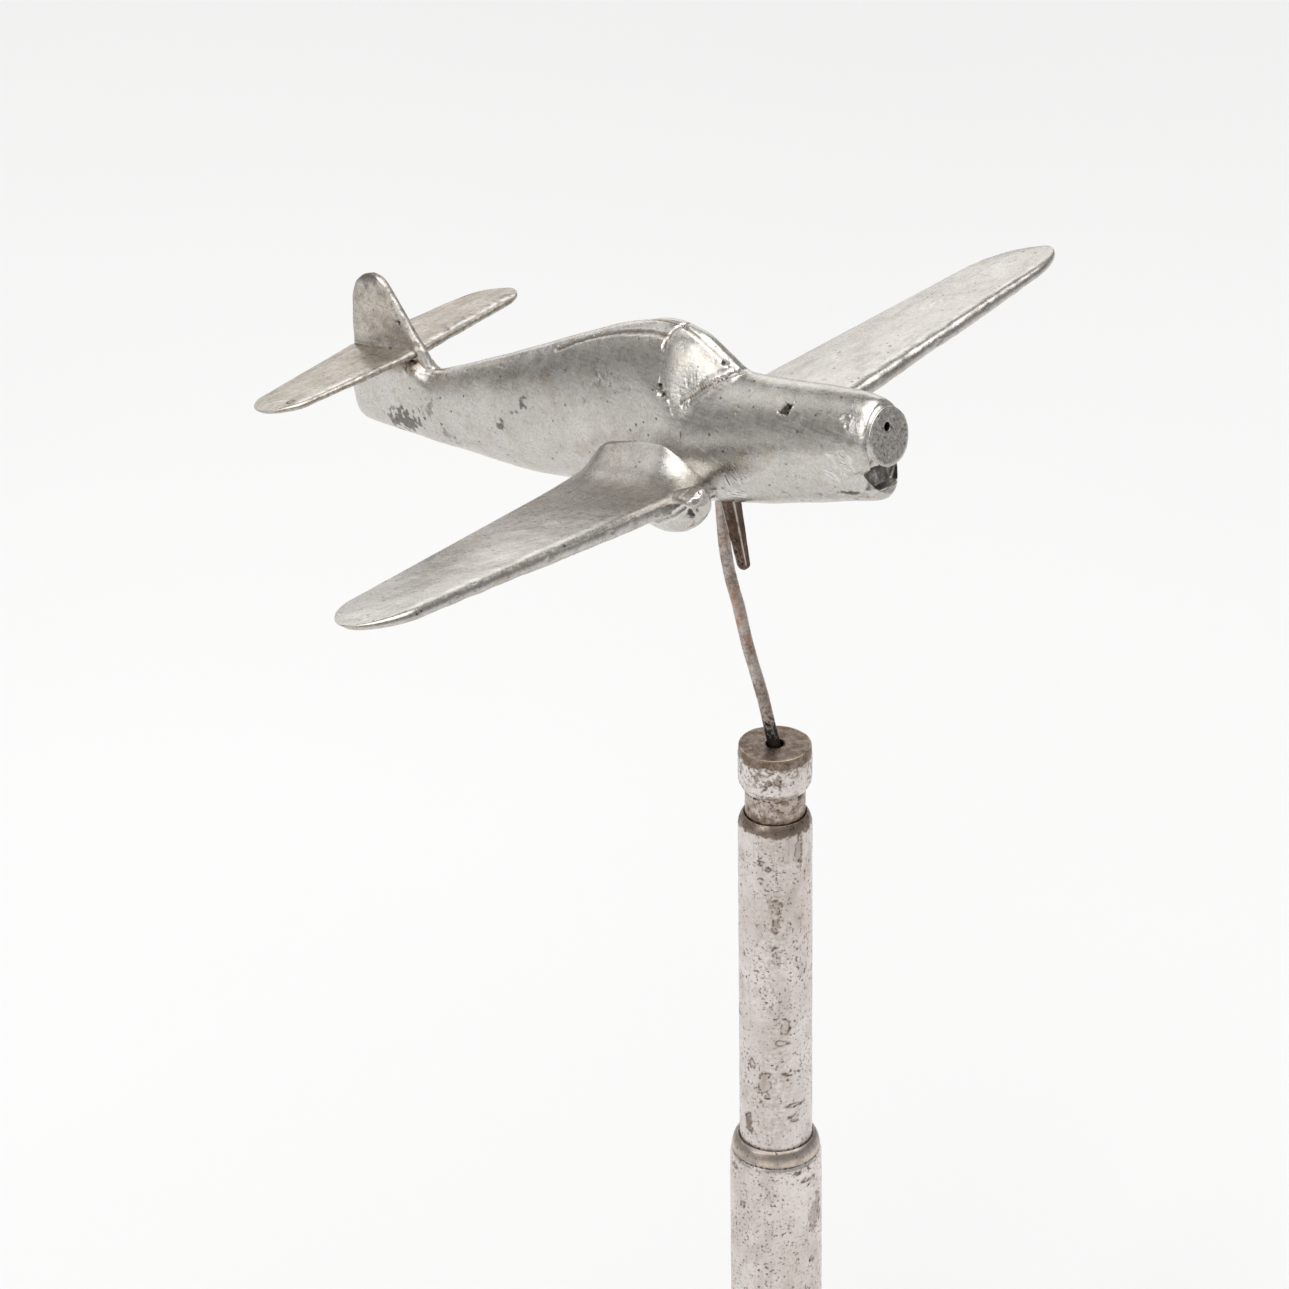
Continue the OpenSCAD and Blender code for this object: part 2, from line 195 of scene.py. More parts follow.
def shell(name, g, place, body, slot, nodes, relief, closed=False, sharp=50):
    """A closed mesh through rings of points g[ring, point] in mm, raised by its relief.
    closed joins the last ring to the first, and otherwise the two ends are capped."""
    m, n = g.shape[:2]
    if volume(g) < 0:
        g = g[:, ::-1]
    r = Relief(g.reshape(-1, 3))
    relief(r)
    g = g + grid_normals(g) * r.h.reshape(m, n)[..., None]
    p = g.reshape(-1, 3)
    world = (np.c_[p, np.ones(len(p))] @ np.array(place).T)[:, :3] * MM
    i, j = np.meshgrid(np.arange(m if closed else m - 1), np.arange(n), indexing="ij")
    k, l = (i + 1) % m, (j + 1) % n
    quads = np.stack([i * n + j, i * n + l, k * n + l, k * n + j], -1).reshape(-1, 4)
    faces = quads.tolist()
    if not closed:
        faces += [list(range(n))[::-1], list(range((m - 1) * n, m * n))]
    mesh = bpy.data.meshes.new(name)
    mesh.from_pydata(world.tolist(), [], faces)
    for key in MASKS:
        a = mesh.attributes.new(key, "FLOAT", "POINT")
        a.data.foreach_set("value", np.clip(r.mask[key], 0, 1).astype(np.float32))
    mesh.shade_smooth()
    mesh.set_sharp_from_angle(angle=math.radians(sharp))
    mesh.materials.append(MATERIALS[slot])
    mesh.validate()
    piece = bpy.data.objects.new(name, mesh)
    bpy.context.scene.collection.objects.link(piece)
    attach(piece, body)
    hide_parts(*nodes)
    return piece


# ---------- materials ----------

class Shader:
    """A node material under construction, with object coordinates in metres."""

    def __init__(self, name):
        self.material = bpy.data.materials.new(name)
        self.material.use_nodes = True
        self.tree = self.material.node_tree
        self.bsdf = self.tree.nodes["Principled BSDF"]
        self.at = self.add("ShaderNodeTexCoord").outputs["Object"]

    def add(self, kind, inputs=None, **props):
        node = self.tree.nodes.new(kind)
        for k, v in props.items():
            setattr(node, k, v)
        for k, v in (inputs or {}).items():
            self.put(node.inputs[k], v)
        return node

    def put(self, socket, v):
        if isinstance(v, bpy.types.NodeSocket):
            self.tree.links.new(v, socket)
        else:
            socket.default_value = v

    def noise(self, mm, detail=3.0, rough=0.55, stretch=None, distortion=0.0):
        """Noise 0 to 1 with features of about this many mm."""
        at = self.at
        if stretch:
            at = self.add("ShaderNodeVectorMath", {0: at, 1: stretch}, operation="MULTIPLY").outputs[0]
        return self.add("ShaderNodeTexNoise", {"Vector": at, "Scale": 1000.0 / mm, "Detail": detail,
                                               "Roughness": rough, "Distortion": distortion}).outputs[0]

    def math(self, op, a, b, clamp=False):
        return self.add("ShaderNodeMath", {0: a, 1: b}, operation=op, use_clamp=clamp).outputs[0]

    def times(self, a, b):
        return self.math("MULTIPLY", a, b)

    def plus(self, a, b):
        return self.math("ADD", a, b)

    def minus(self, a, b, clamp=False):
        return self.math("SUBTRACT", a, b, clamp)

    def span(self, v, low, high, to_low=0.0, to_high=1.0):
        return self.add("ShaderNodeMapRange", {0: v, 1: low, 2: high, 3: to_low, 4: to_high}).outputs[0]

    def mix(self, share, a, b):
        node = self.add("ShaderNodeMix", {0: share}, data_type="RGBA")
        self.put(node.inputs[6], a)
        self.put(node.inputs[7], b)
        return node.outputs[2]

    def dim(self, colour, factor):
        return self.add("ShaderNodeVectorMath", {0: colour, 3: factor}, operation="SCALE").outputs[0]

    def speckled(self, mask, grain):
        """Share of a mask that breaks up into specks where it is weak."""
        broken = self.plus(mask, self.times(self.minus(grain, 0.5), 1.6))
        return self.span(broken, 0.34, 0.66)

    def attribute(self, name):
        return self.add("ShaderNodeAttribute", attribute_name=name).outputs["Fac"]

    def bump(self, height, mm, below=None):
        """Raises the surface by up to mm."""
        inputs = {"Height": height, "Distance": mm * MM, "Strength": 1.0}
        if below is not None:
            inputs["Normal"] = below
        return self.add("ShaderNodeBump", inputs).outputs[0]

    def finish(self, colour, roughness, normal=None, **uniform):
        self.put(self.bsdf.inputs["Base Color"], colour)
        self.put(self.bsdf.inputs["Roughness"], roughness)
        if normal is not None:
            self.put(self.bsdf.inputs["Normal"], normal)
        for k, v in uniform.items():
            self.bsdf.inputs[k.replace("_", " ").title().replace("Ior", "IOR")].default_value = v
        return self.material


def rgb(r, g, b):
    return (r, g, b, 1.0)


def cast_metal(name, light, deep, grain, stain, rough=(0.2, 0.38), stain_from=0.56, grit=0.22):
    """Satin cast metal, filed and handled: gritty skin, soft mottling, fine scratches and pinholes, grime and
    painted shade from the dark mask, and painted highlights from the bright mask.
    """
    s = Shader(name)
    large, mid, fine = s.noise(9, 3), s.noise(1.7, 5, 0.65), s.noise(0.5, 4, 0.72)
    tone = s.plus(s.times(large, 0.5), s.times(mid, 0.5))
    colour = s.mix(s.span(tone, 0.4, 0.6), deep, light)
    along = s.noise(0.6, 3, 0.6, stretch=(0.12, 1.3, 1.3))
    across = s.noise(0.6, 3, 0.6, stretch=(1.4, 0.13, 1.3))
    rubbed = s.noise(2.6, 4, 0.6, stretch=(1, 0.16, 1))
    cells = s.add("ShaderNodeTexVoronoi", {"Vector": s.at, "Scale": 1000 / 1.5, "Randomness": 1.0})
    pick = s.add("ShaderNodeSeparateColor", {0: cells.outputs["Color"]})
    rare = s.span(pick.outputs[0], 0.7, 0.78)
    width = s.span(pick.outputs[1], 0.0, 1.0, 0.07, 0.2)
    hole = s.times(s.math("LESS_THAN", cells.outputs["Distance"], width), rare)
    worn = s.span(s.noise(3.4, 6, 0.7), stain_from, stain_from + 0.1)
    colour = s.mix(s.times(s.span(mid, 0.52, 0.68), 0.3), colour, grain)
    colour = s.mix(s.times(worn, 0.32), colour, stain)
    colour = s.mix(s.times(s.span(rubbed, 0.52, 0.66), 0.3), colour, stain)
    skin = s.plus(s.times(fine, 0.6), s.times(s.plus(along, across), 0.2))
    colour = s.dim(colour, s.span(skin, 0.38, 0.62, 1 - grit, 1 + 0.6 * grit))
    speck = s.span(fine, 0.61, 0.68)
    colour = s.mix(s.times(speck, 0.42), colour, rgb(0.17, 0.155, 0.14))
    colour = s.mix(s.times(hole, 0.75), colour, rgb(0.08, 0.074, 0.068))
    brown, dark, bright = (s.attribute(k) for k in ("brown", "dark", "bright"))
    rag = s.span(mid, 0.3, 0.62, 0.45, 1.0)
    colour = s.mix(s.times(brown, rag), colour, rgb(0.21, 0.135, 0.08))
    # the dark mask: grime, dark oxide and pits, with painted shade in the pin hole, the chin intake and on
    # the front faces of the leading edges
    grime_and_shade = s.times(s.speckled(dark, fine), s.span(dark, 0.35, 0.95, 0.5, 0.95))
    colour = s.mix(grime_and_shade, colour, rgb(0.085, 0.078, 0.07))
    # the bright mask: painted highlights along edges, ridges and groove lips, and bright solder
    colour = s.mix(s.times(bright, 0.75), colour, rgb(0.9, 0.885, 0.86))
    roughness = s.span(s.plus(mid, s.times(along, 0.6)), 0.6, 1.05, *rough)
    roughness = s.plus(roughness, s.times(grime_and_shade, 0.15))
    roughness = s.minus(roughness, s.times(bright, 0.1), clamp=True)
    n = s.bump(mid, 0.04)
    n = s.bump(fine, 0.022, n)
    n = s.bump(along, 0.022, n)
    n = s.bump(across, 0.02, n)
    n = s.bump(s.minus(1.0, hole), 0.1, n)
    return s.finish(colour, roughness, n, metallic=1.0)


def plated(name, plate, shade, speck_share=0.85, speck_from=0.505, rough=(0.24, 0.4)):
    """Old plating over brass: whitish metal, brown speckles where it is worn through, tarnished shoulders."""
    s = Shader(name)
    large, mid, fine = s.noise(12, 4, 0.6), s.noise(1.3, 6, 0.7), s.noise(0.5, 3, 0.6)
    colour = s.mix(s.span(large, 0.38, 0.62), shade, plate)
    clouds = s.span(s.noise(6.5, 5, 0.65, stretch=(1, 1, 0.55)), 0.4, 0.62)
    crackle = s.plus(s.times(fine, 0.7), s.times(mid, 0.3))
    specks = s.span(s.plus(crackle, s.times(clouds, 0.05)), speck_from + 0.095, speck_from + 0.115)
    colour = s.mix(s.span(crackle, 0.42, 0.58, 0.0, 0.22), colour, rgb(0.46, 0.38, 0.33))
    colour = s.mix(s.times(specks, speck_share), colour, rgb(0.2, 0.13, 0.09))
    hair = s.noise(0.7, 3, 0.6, stretch=(1, 1, 0.1))
    colour = s.mix(s.span(hair, 0.6, 0.7, 0.0, 0.25), colour, rgb(0.3, 0.22, 0.17))
    brown, dark, bright = (s.attribute(k) for k in ("brown", "dark", "bright"))
    rag = s.span(mid, 0.36, 0.58, 0.75, 1.0)
    old = s.mix(s.span(fine, 0.4, 0.62), rgb(0.14, 0.09, 0.058), rgb(0.2, 0.14, 0.095))
    colour = s.mix(s.times(brown, rag), colour, old)
    # the dark mask: tarnish and flake outlines, with painted shade in the crease under the lower tube's lip
    colour = s.mix(s.speckled(dark, fine), colour, rgb(0.035, 0.025, 0.02))
    # the bright mask: painted highlights on the head's rims and the lower tube's rolled lip, over polished
    # brass and rubbed spots
    colour = s.mix(s.times(bright, 0.8), colour, rgb(0.95, 0.8, 0.6))
    roughness = s.span(mid, 0.38, 0.62, *rough)
    roughness = s.plus(roughness, s.times(specks, 0.2))
    roughness = s.plus(roughness, s.times(brown, 0.06))
    roughness = s.minus(roughness, s.times(bright, 0.16), clamp=True)
    rings = s.noise(0.35, 2, 0.5, stretch=(0.04, 0.04, 1.0))
    n = s.bump(mid, 0.09)
    n = s.bump(s.minus(1.0, specks), 0.025, n)
    n = s.bump(rings, 0.012, n)
    return s.finish(colour, roughness, n, metallic=1.0)


def steel(name, base, rust, share, rough=(0.38, 0.6)):
    """Old drawn or forged steel with a brown skin."""
    s = Shader(name)
    large, mid, fine = s.noise(5, 4, 0.6), s.noise(0.9, 5, 0.7), s.noise(0.35, 4, 0.7)
    skin = s.span(s.plus(s.times(large, 0.5), s.times(mid, 0.5)),
                  0.6 - 0.25 * share, 0.74 - 0.25 * share)
    colour = s.mix(skin, base, rust)
    colour = s.dim(colour, s.span(fine, 0.38, 0.62, 0.7, 1.18))
    brown, dark, bright = (s.attribute(k) for k in ("brown", "dark", "bright"))
    rag = s.span(mid, 0.35, 0.6, 0.35, 1.0)
    colour = s.mix(s.times(brown, rag), colour, rgb(0.42, 0.2, 0.12))
    colour = s.mix(s.speckled(dark, mid), colour, rgb(0.035, 0.028, 0.024))
    # the bright mask: painted highlights along the tang's edges, and rubbed spots on the wire
    colour = s.mix(s.times(bright, 0.85), colour, rgb(0.66, 0.6, 0.54))
    roughness = s.plus(s.span(mid, 0.35, 0.65, *rough), s.times(skin, 0.1))
    roughness = s.minus(roughness, s.times(bright, 0.15), clamp=True)
    drawn = s.noise(0.3, 2, 0.5, stretch=(1, 1, 0.06))
    n = s.bump(mid, 0.1)
    n = s.bump(fine, 0.03, n)
    n = s.bump(drawn, 0.02, n)
    return s.finish(colour, roughness, n, metallic=0.9)


def felt(name):
    s = Shader(name)
    pile, tuft = s.noise(0.35, 5, 0.7), s.noise(2.5, 4, 0.6)
    fibre = s.noise(0.5, 4, 0.7, stretch=(0.25, 1.5, 1), distortion=1.2)
    colour = s.mix(s.span(pile, 0.3, 0.7), rgb(0.012, 0.035, 0.018), rgb(0.04, 0.085, 0.05))
    colour = s.mix(s.span(tuft, 0.5, 0.8, 0.0, 0.4), colour, rgb(0.07, 0.11, 0.075))
    n = s.bump(s.plus(s.times(pile, 0.5), s.times(fibre, 0.5)), 0.25)
    return s.finish(colour, 0.95, n, metallic=0.0, sheen_weight=0.4, sheen_roughness=0.5)


MATERIALS = {
    "cast_aluminium": cast_metal("cast_aluminium", rgb(0.66, 0.637, 0.605), rgb(0.55, 0.528, 0.497),
                                 rgb(0.4, 0.38, 0.345), rgb(0.47, 0.4, 0.3)),
    "oxidised_aluminium": cast_metal("oxidised_aluminium", rgb(0.66, 0.62, 0.56), rgb(0.5, 0.465, 0.42),
                                     rgb(0.31, 0.28, 0.25), rgb(0.44, 0.35, 0.24), (0.3, 0.5), 0.52, 0.38),
    "rusty_steel": steel("rusty_steel", rgb(0.2, 0.155, 0.12), rgb(0.1, 0.062, 0.044), 0.9),
    "wire_steel": steel("wire_steel", rgb(0.52, 0.46, 0.42), rgb(0.29, 0.225, 0.19), 0.5),
    "nickel_plate": plated("nickel_plate", rgb(0.76, 0.715, 0.69), rgb(0.64, 0.585, 0.55)),
    "worn_brass": plated("worn_brass", rgb(0.58, 0.52, 0.48), rgb(0.4, 0.33, 0.28), 0.8, 0.48, (0.28, 0.46)),
    "bare_brass": plated("bare_brass", rgb(0.72, 0.5, 0.24), rgb(0.6, 0.4, 0.18), 0.4, 0.54, (0.22, 0.34)),
    "cast_iron": cast_metal("cast_iron", rgb(0.2, 0.19, 0.18), rgb(0.1, 0.095, 0.09),
                            rgb(0.07, 0.065, 0.06), rgb(0.2, 0.1, 0.05), (0.55, 0.75)),
    "plain_steel": steel("plain_steel", rgb(0.5, 0.49, 0.47), rgb(0.3, 0.26, 0.22), 0.15, (0.25, 0.4)),
    "felt": felt("felt"),
}


# ---------- the aeroplane's own frame ----------

pin = next(m for m in frame["record"]["mounts"] if m["name"] == "propeller_pin_hole")
ahead = Vector(pin["axis"]).normalized()
nose = Vector(pin["pos_m"]) / MM + ahead * pin["dims"]["length_mm"] / 2
bank = math.radians(1)
across = Vector((-ahead.z * math.sin(bank), math.cos(bank), ahead.x * math.sin(bank)))
above = ahead.cross(across)
PLANE = Matrix((ahead, across, above)).transposed().to_4x4()
PLANE.translation = nose
POST = Matrix.Identity(4)

STATIONS = [  # x behind the nose, half width, top, bottom, height of the widest level
    [-0.8, 5.2, 4.0, -12.0, -3.6], [-1.5, 5.6, 4.6, -12.7, -3.8], [-2.8, 5.95, 5.1, -13.2, -4.0],
    [-5, 6.3, 5.6, -13.5, -4.2],
    [-10, 6.7, 5.9, -14.0, -4.2], [-20, 7.4, 6.3, -15.2, -4.4], [-28, 7.9, 6.6, -16.1, -4.8],
    [-30.5, 8.0, 7.2, -16.3, -5.0], [-33.5, 8.1, 9.8, -16.5, -5.0], [-38, 8.2, 13.6, -16.8, -5.2],
    [-45, 8.2, 15.5, -17.0, -5.4], [-53, 7.8, 14.6, -17.0, -5.4], [-63, 7.0, 12.3, -16.7, -5.4],
    [-75, 5.9, 9.0, -16.3, -5.4], [-87, 4.8, 5.7, -15.8, -5.6], [-99, 3.8, 2.8, -14.2, -5.8],
    [-105.5, 3.3, 1.3, -13.2, -5.9], [-107.5, 3.1, 1.9, -12.9, -6.0], [-109.5, 3.0, 3.3, -12.6, -6.0],
    [-113, 2.8, 3.6, -12.0, -6.0], [-120, 2.4, 3.6, -10.8, -6.0], [-126, 2.0, 3.5, -9.7, -5.9],
    [-127.6, 1.4, 2.8, -8.9, -5.8]]
CANOPY_PINCH = [[-140, -0.9], [-110, -0.9], [-105, 0.0], [-95, 0.05], [-70, 0.16], [-52, 0.22], [-40, 0.22],
                [-31, 0.05], [0, 0.0]]
CHIN_PINCH = [[-140, 0.04], [-30, 0.04], [-12, 0.06], [0, 0.2]]
SCREEN_BEND, SCREEN_FRONT, SCREEN_BACK = 0.2, -20, -47
WING_HALF, WING_TIP = 89.2, 11
TAIL_HALF, TAIL_TIP, TAIL_Z = 31.4, 6, 4.1
BLUNT = 0.1  # share of the chord that a wing's blunt front edge takes


def half_thick(s, t):
    """Half thickness of a section with a blunt front edge and a flat top, at share s of the chord."""
    s = np.clip(s, 0, 1)
    edge = (1 - (1 - np.clip(s / BLUNT, 0, 1)) ** 2.5) ** 0.4
    return 0.5 * t * edge * (1 - 0.84 * np.clip((s - 0.3) / 0.7, 0, 1) ** 1.7)


def body_ring(x, a):
    """Ring of the fuselage at x, for the angles a. The windscreen is rounded in plan."""
    x = np.asarray(x, float)[..., None]
    w, low, mid = (curve(STATIONS, x, k) for k in (1, 3, 4))
    up = np.sin(a) > 0
    pinch = np.where(up, line(CANOPY_PINCH, x), line(CHIN_PINCH, x))
    y = w * np.cos(a) * (1 - pinch * np.sin(a) ** 2)
    bend = SCREEN_BEND * smooth((x - SCREEN_BACK) / 9) * smooth((SCREEN_FRONT - x) / 6)
    top = curve(STATIONS, x + bend * y ** 2, 2)
    z = mid + np.where(up, top - mid, mid - low) * np.sin(a)
    return points(x, y, z)


def wing_plan(y):
    """The wing's front edge, chord, height and thickness, at y."""
    s = np.abs(y) / WING_HALF
    return -36.8 + 4.4 * s, 31.8 - 17 * s, -13 + 9.6 * s, 4.2 - 2.3 * s


def tail_plan(y):
    """The tailplane's front edge, chord and thickness, at y."""
    s = np.abs(y) / TAIL_HALF
    return -109 - 3 * s, 18 - 6.8 * s, 1.7 * (1 - 0.3 * s)


def wing_levels(x, y):
    """Upper and lower height of the wing, and the share of the chord, at x and y."""
    lead, chord, height, thick = wing_plan(y)
    share = (lead - x) / chord
    half = half_thick(share, thick)
    return height + half, height - half, share


# ---------- fuselage ----------

AROUND = 208
ROOT_Y, ROOT_WIDE = 8, 14  # where the wing meets the side of the body, and how far out it sweeps up
FACE_Y, FACE_Z, NOSE_Z, PIN_R = 4.8, 5.05, -1.75, 0.7
ROOT_TOP = [[-31, -9], [-33.4, -6.1], [-36.4, -4.4], [-41.4, -3.9], [-50.4, -4.0], [-60.3, -5.6],
            [-67.9, -8.5], [-71, -11]]  # where the flare of the wing root starts on the side: x, height


def set_back(g):
    """The front of the chin stands back from the nose disc, with its corners rounded off."""
    x, y, z = g[..., 0], g[..., 1], g[..., 2]
    near = smooth((x + 9) / 8.2)
    far = smooth(y / 4)
    corner = (0.06 + 0.02 * far) * y ** 2 * smooth((-5.4 + 2.6 * far - z) / (2 + 1.6 * far))
    g[..., 0] = x - near * (1.15 * smooth((-5.6 - z) / 1.8) + corner)
    return g


def nose_rings(a):
    """From the bottom of the pin hole over the nose face and the chin to the first body ring."""
    rings = []
    c, s = np.cos(a), np.sin(a)

    def add(x, y, z):
        rings.append(points(x, y, z))

    def intake(y, z):
        """Share of the chin intake's depth."""
        dy, dz = np.abs(y + 0.1) - 2.8, np.abs(z + 8.1) - 1.1
        d = np.hypot(np.maximum(dy, 0), np.maximum(dz, 0)) + np.minimum(np.maximum(dy, dz), 0) - 1.6
        return smooth(-d / 0.8)

    for x, r in ((-8, 0.7), (-7.9, 0.7), (-4, 0.7), (-1.5, 0.7), (-0.35, 0.7), (-0.12, 0.76), (-0.02, 0.86)):
        add(x, r * c, r * s)
    wide = FACE_Y * (1 + 0.01 * np.sin(2 * a + 1) + 0.006 * np.sin(5 * a))
    tall = wide * FACE_Z / FACE_Y
    for t in np.linspace(0.03, 1, 14):
        add(0, 0.88 * c * (1 - t) + (wide - 0.22) * c * t,
            0.88 * s * (1 - t) + (NOSE_Z + (tall - 0.22) * s) * t)
    for t in np.linspace(0.2, 1, 5) * math.pi / 2:
        r = 0.22 * math.sin(t) - 0.22
        add(-0.22 + 0.22 * math.cos(t), (wide + r) * c, NOSE_Z + (tall + r) * s)
    y0, z0 = wide * c, NOSE_Z + tall * s
    deep = intake(y0 * 1.03, NOSE_Z + (tall + 0.3) * s)
    base = -0.34 - 3.4 * deep
    for t in np.linspace(0.12, 1, 9):
        back = 0.35 * deep * smooth(t * 1.5)
        add(-0.22 + (base + 0.22) * t, y0 - back * c, z0 - back * s)
    start = rings[-1]
    edge = set_back(body_ring(np.array([STATIONS[0][0]]), a))[0]
    for t in np.linspace(0, 1, 34)[1:-1]:
        y = start[:, 1] * (1 - t) + edge[:, 1] * t
        z = start[:, 2] * (1 - t) + edge[:, 2] * t
        rim = -0.34 + (edge[:, 0] + 0.34) * smooth(t / 0.8 + 0.1)
        cut = intake(y, z) * smooth((1 - t) / 0.14)
        x = rim * (1 - cut) - 3.74 * cut
        blend = smooth(t * 7)
        add(0, y, z)
        rings[-1][:, 0] = start[:, 0] * (1 - blend) + x * blend
    return np.array(rings)


def fuselage_grid():
    a = turn(AROUND)
    x = np.concatenate([np.arange(*span) for span in (
        (-0.8, -5, -0.2), (-5, -15.5, -0.45), (-15.5, -19.5, -0.18), (-19.5, -28, -0.45), (-28, -48, -0.2),
        (-48, -72, -0.28), (-72, -100, -0.5), (-100, -127.0, -0.4))] + [[-127.2]])
    g = set_back(body_ring(x, a))
    # the belly flares out a little to meet the underside of the wing
    y, z = g[..., 1], g[..., 2]
    top, low, share = wing_levels(g[..., 0], ROOT_Y + 1)
    along = smooth((share + 0.1) / 0.2) * smooth((1.1 - share) / 0.16)
    v = np.clip((low - z) / 1.6, 0, 1)
    under = 1.2 * (1 - np.sqrt(1 - (1 - v) ** 2))
    out = np.where(z < low, under, 1.2 * smooth((top - 0.5 - z) / np.maximum(top - 0.5 - low, 0.5)))
    g[..., 1] += np.sign(y) * smooth((np.abs(y) - 1.5) / 3) * out * along
    # the tail end closes in a soft dome
    last = g[-1]
    centre = last.mean(0)
    dome = [centre + (last - centre) * math.cos(t) - np.array([0.25 * math.sin(t), 0, 0])
            for t in np.linspace(0, 1.5, 9)[1:]]
    return np.concatenate([nose_rings(a), g, dome])


def canopy_frames(r):
    for path, width, depth in (
            ([(-71.8, -2.2, 8.5), (-68.3, -1.95, 9.8), (-64.5, -1.85, 11), (-59.6, -1.9, 12.1),
              (-54.8, -2.1, 13.0), (-50.9, -2.3, 13.5), (-47.5, -2.5, 13.6), (-43.5, -2.8, 13.3)],
              0.62, 0.24),
            ([(-60, 0.7, 12.9), (-55.5, 0.4, 14), (-52.1, 0.1, 14.7), (-50, -0.2, 15), (-45.9, -0.8, 15.4),
              (-42.6, -0.9, 15.0), (-40.8, -0.9, 14.5)], 0.5, 0.16),
            ([(-42.2, 2.6, 13.6), (-41.4, 0.2, 14.9), (-41.9, -0.6, 14.9), (-42.7, -1.8, 14.4),
              (-43.5, -2.8, 13.3), (-43.9, -3.2, 12.8), (-44.2, -3.9, 11.8)], 0.55, 0.2),
            ([(-41.3, -0.8, 14.7), (-37.5, -1.4, 12.7), (-35.2, -1.2, 10.8), (-33.2, -1.2, 9.1)],
              0.5, 0.17),
            ([(-39.9, -6.3, 3.1), (-37.8, -5.4, 4.3), (-36.2, -4.7, 5.3), (-34.2, -3.7, 6.2),
              (-32.2, -2.4, 6.9), (-30.7, -0.3, 7.3)], 0.7, 0.4),
            ([(-36.6, -4.5, 5.9), (-35.0, -3.6, 6.9), (-33.0, -2.3, 7.7), (-31.6, -0.5, 8.0)], 0.5, 0.2)):
        r.groove(path, width, depth, 0.035, dark=0.3, brown=0.75)
    # the same frames on the port side, a little cruder
    for path, width, depth in (
            ([(-70, 2.2, 9.2), (-62, 2.0, 11.6), (-54, 2.2, 13.2), (-47.5, 2.6, 13.6), (-43.6, 2.7, 13.3)],
              0.55, 0.2),
            ([(-43.6, 2.7, 13.3), (-44.3, 3.8, 11.8)], 0.5, 0.16),
            ([(-38.8, 6.9, 3.6), (-35.4, 5.6, 5.6), (-33.2, 4.4, 6.6), (-31.6, 2.4, 7.1),
              (-30.7, -0.3, 7.3)], 0.55, 0.2)):
        r.groove(path, width, depth, 0.03, dark=0.3, brown=0.7)
    r.groove([(-59.6, -2.3, 11.7), (-59.6, -1.6, 12.4), (-59.8, -0.4, 12.9)], 0.35, 0.08, dark=0.3)
    r.pit((-41.8, -0.7, 14.9), (0.5, 0.4, 0.5), 0.25, dark=0.7)
    r.pit((-33.0, -1.2, 8.9), (0.6, 0.5, 0.55), 0.5, 0.06, dark=0.85)


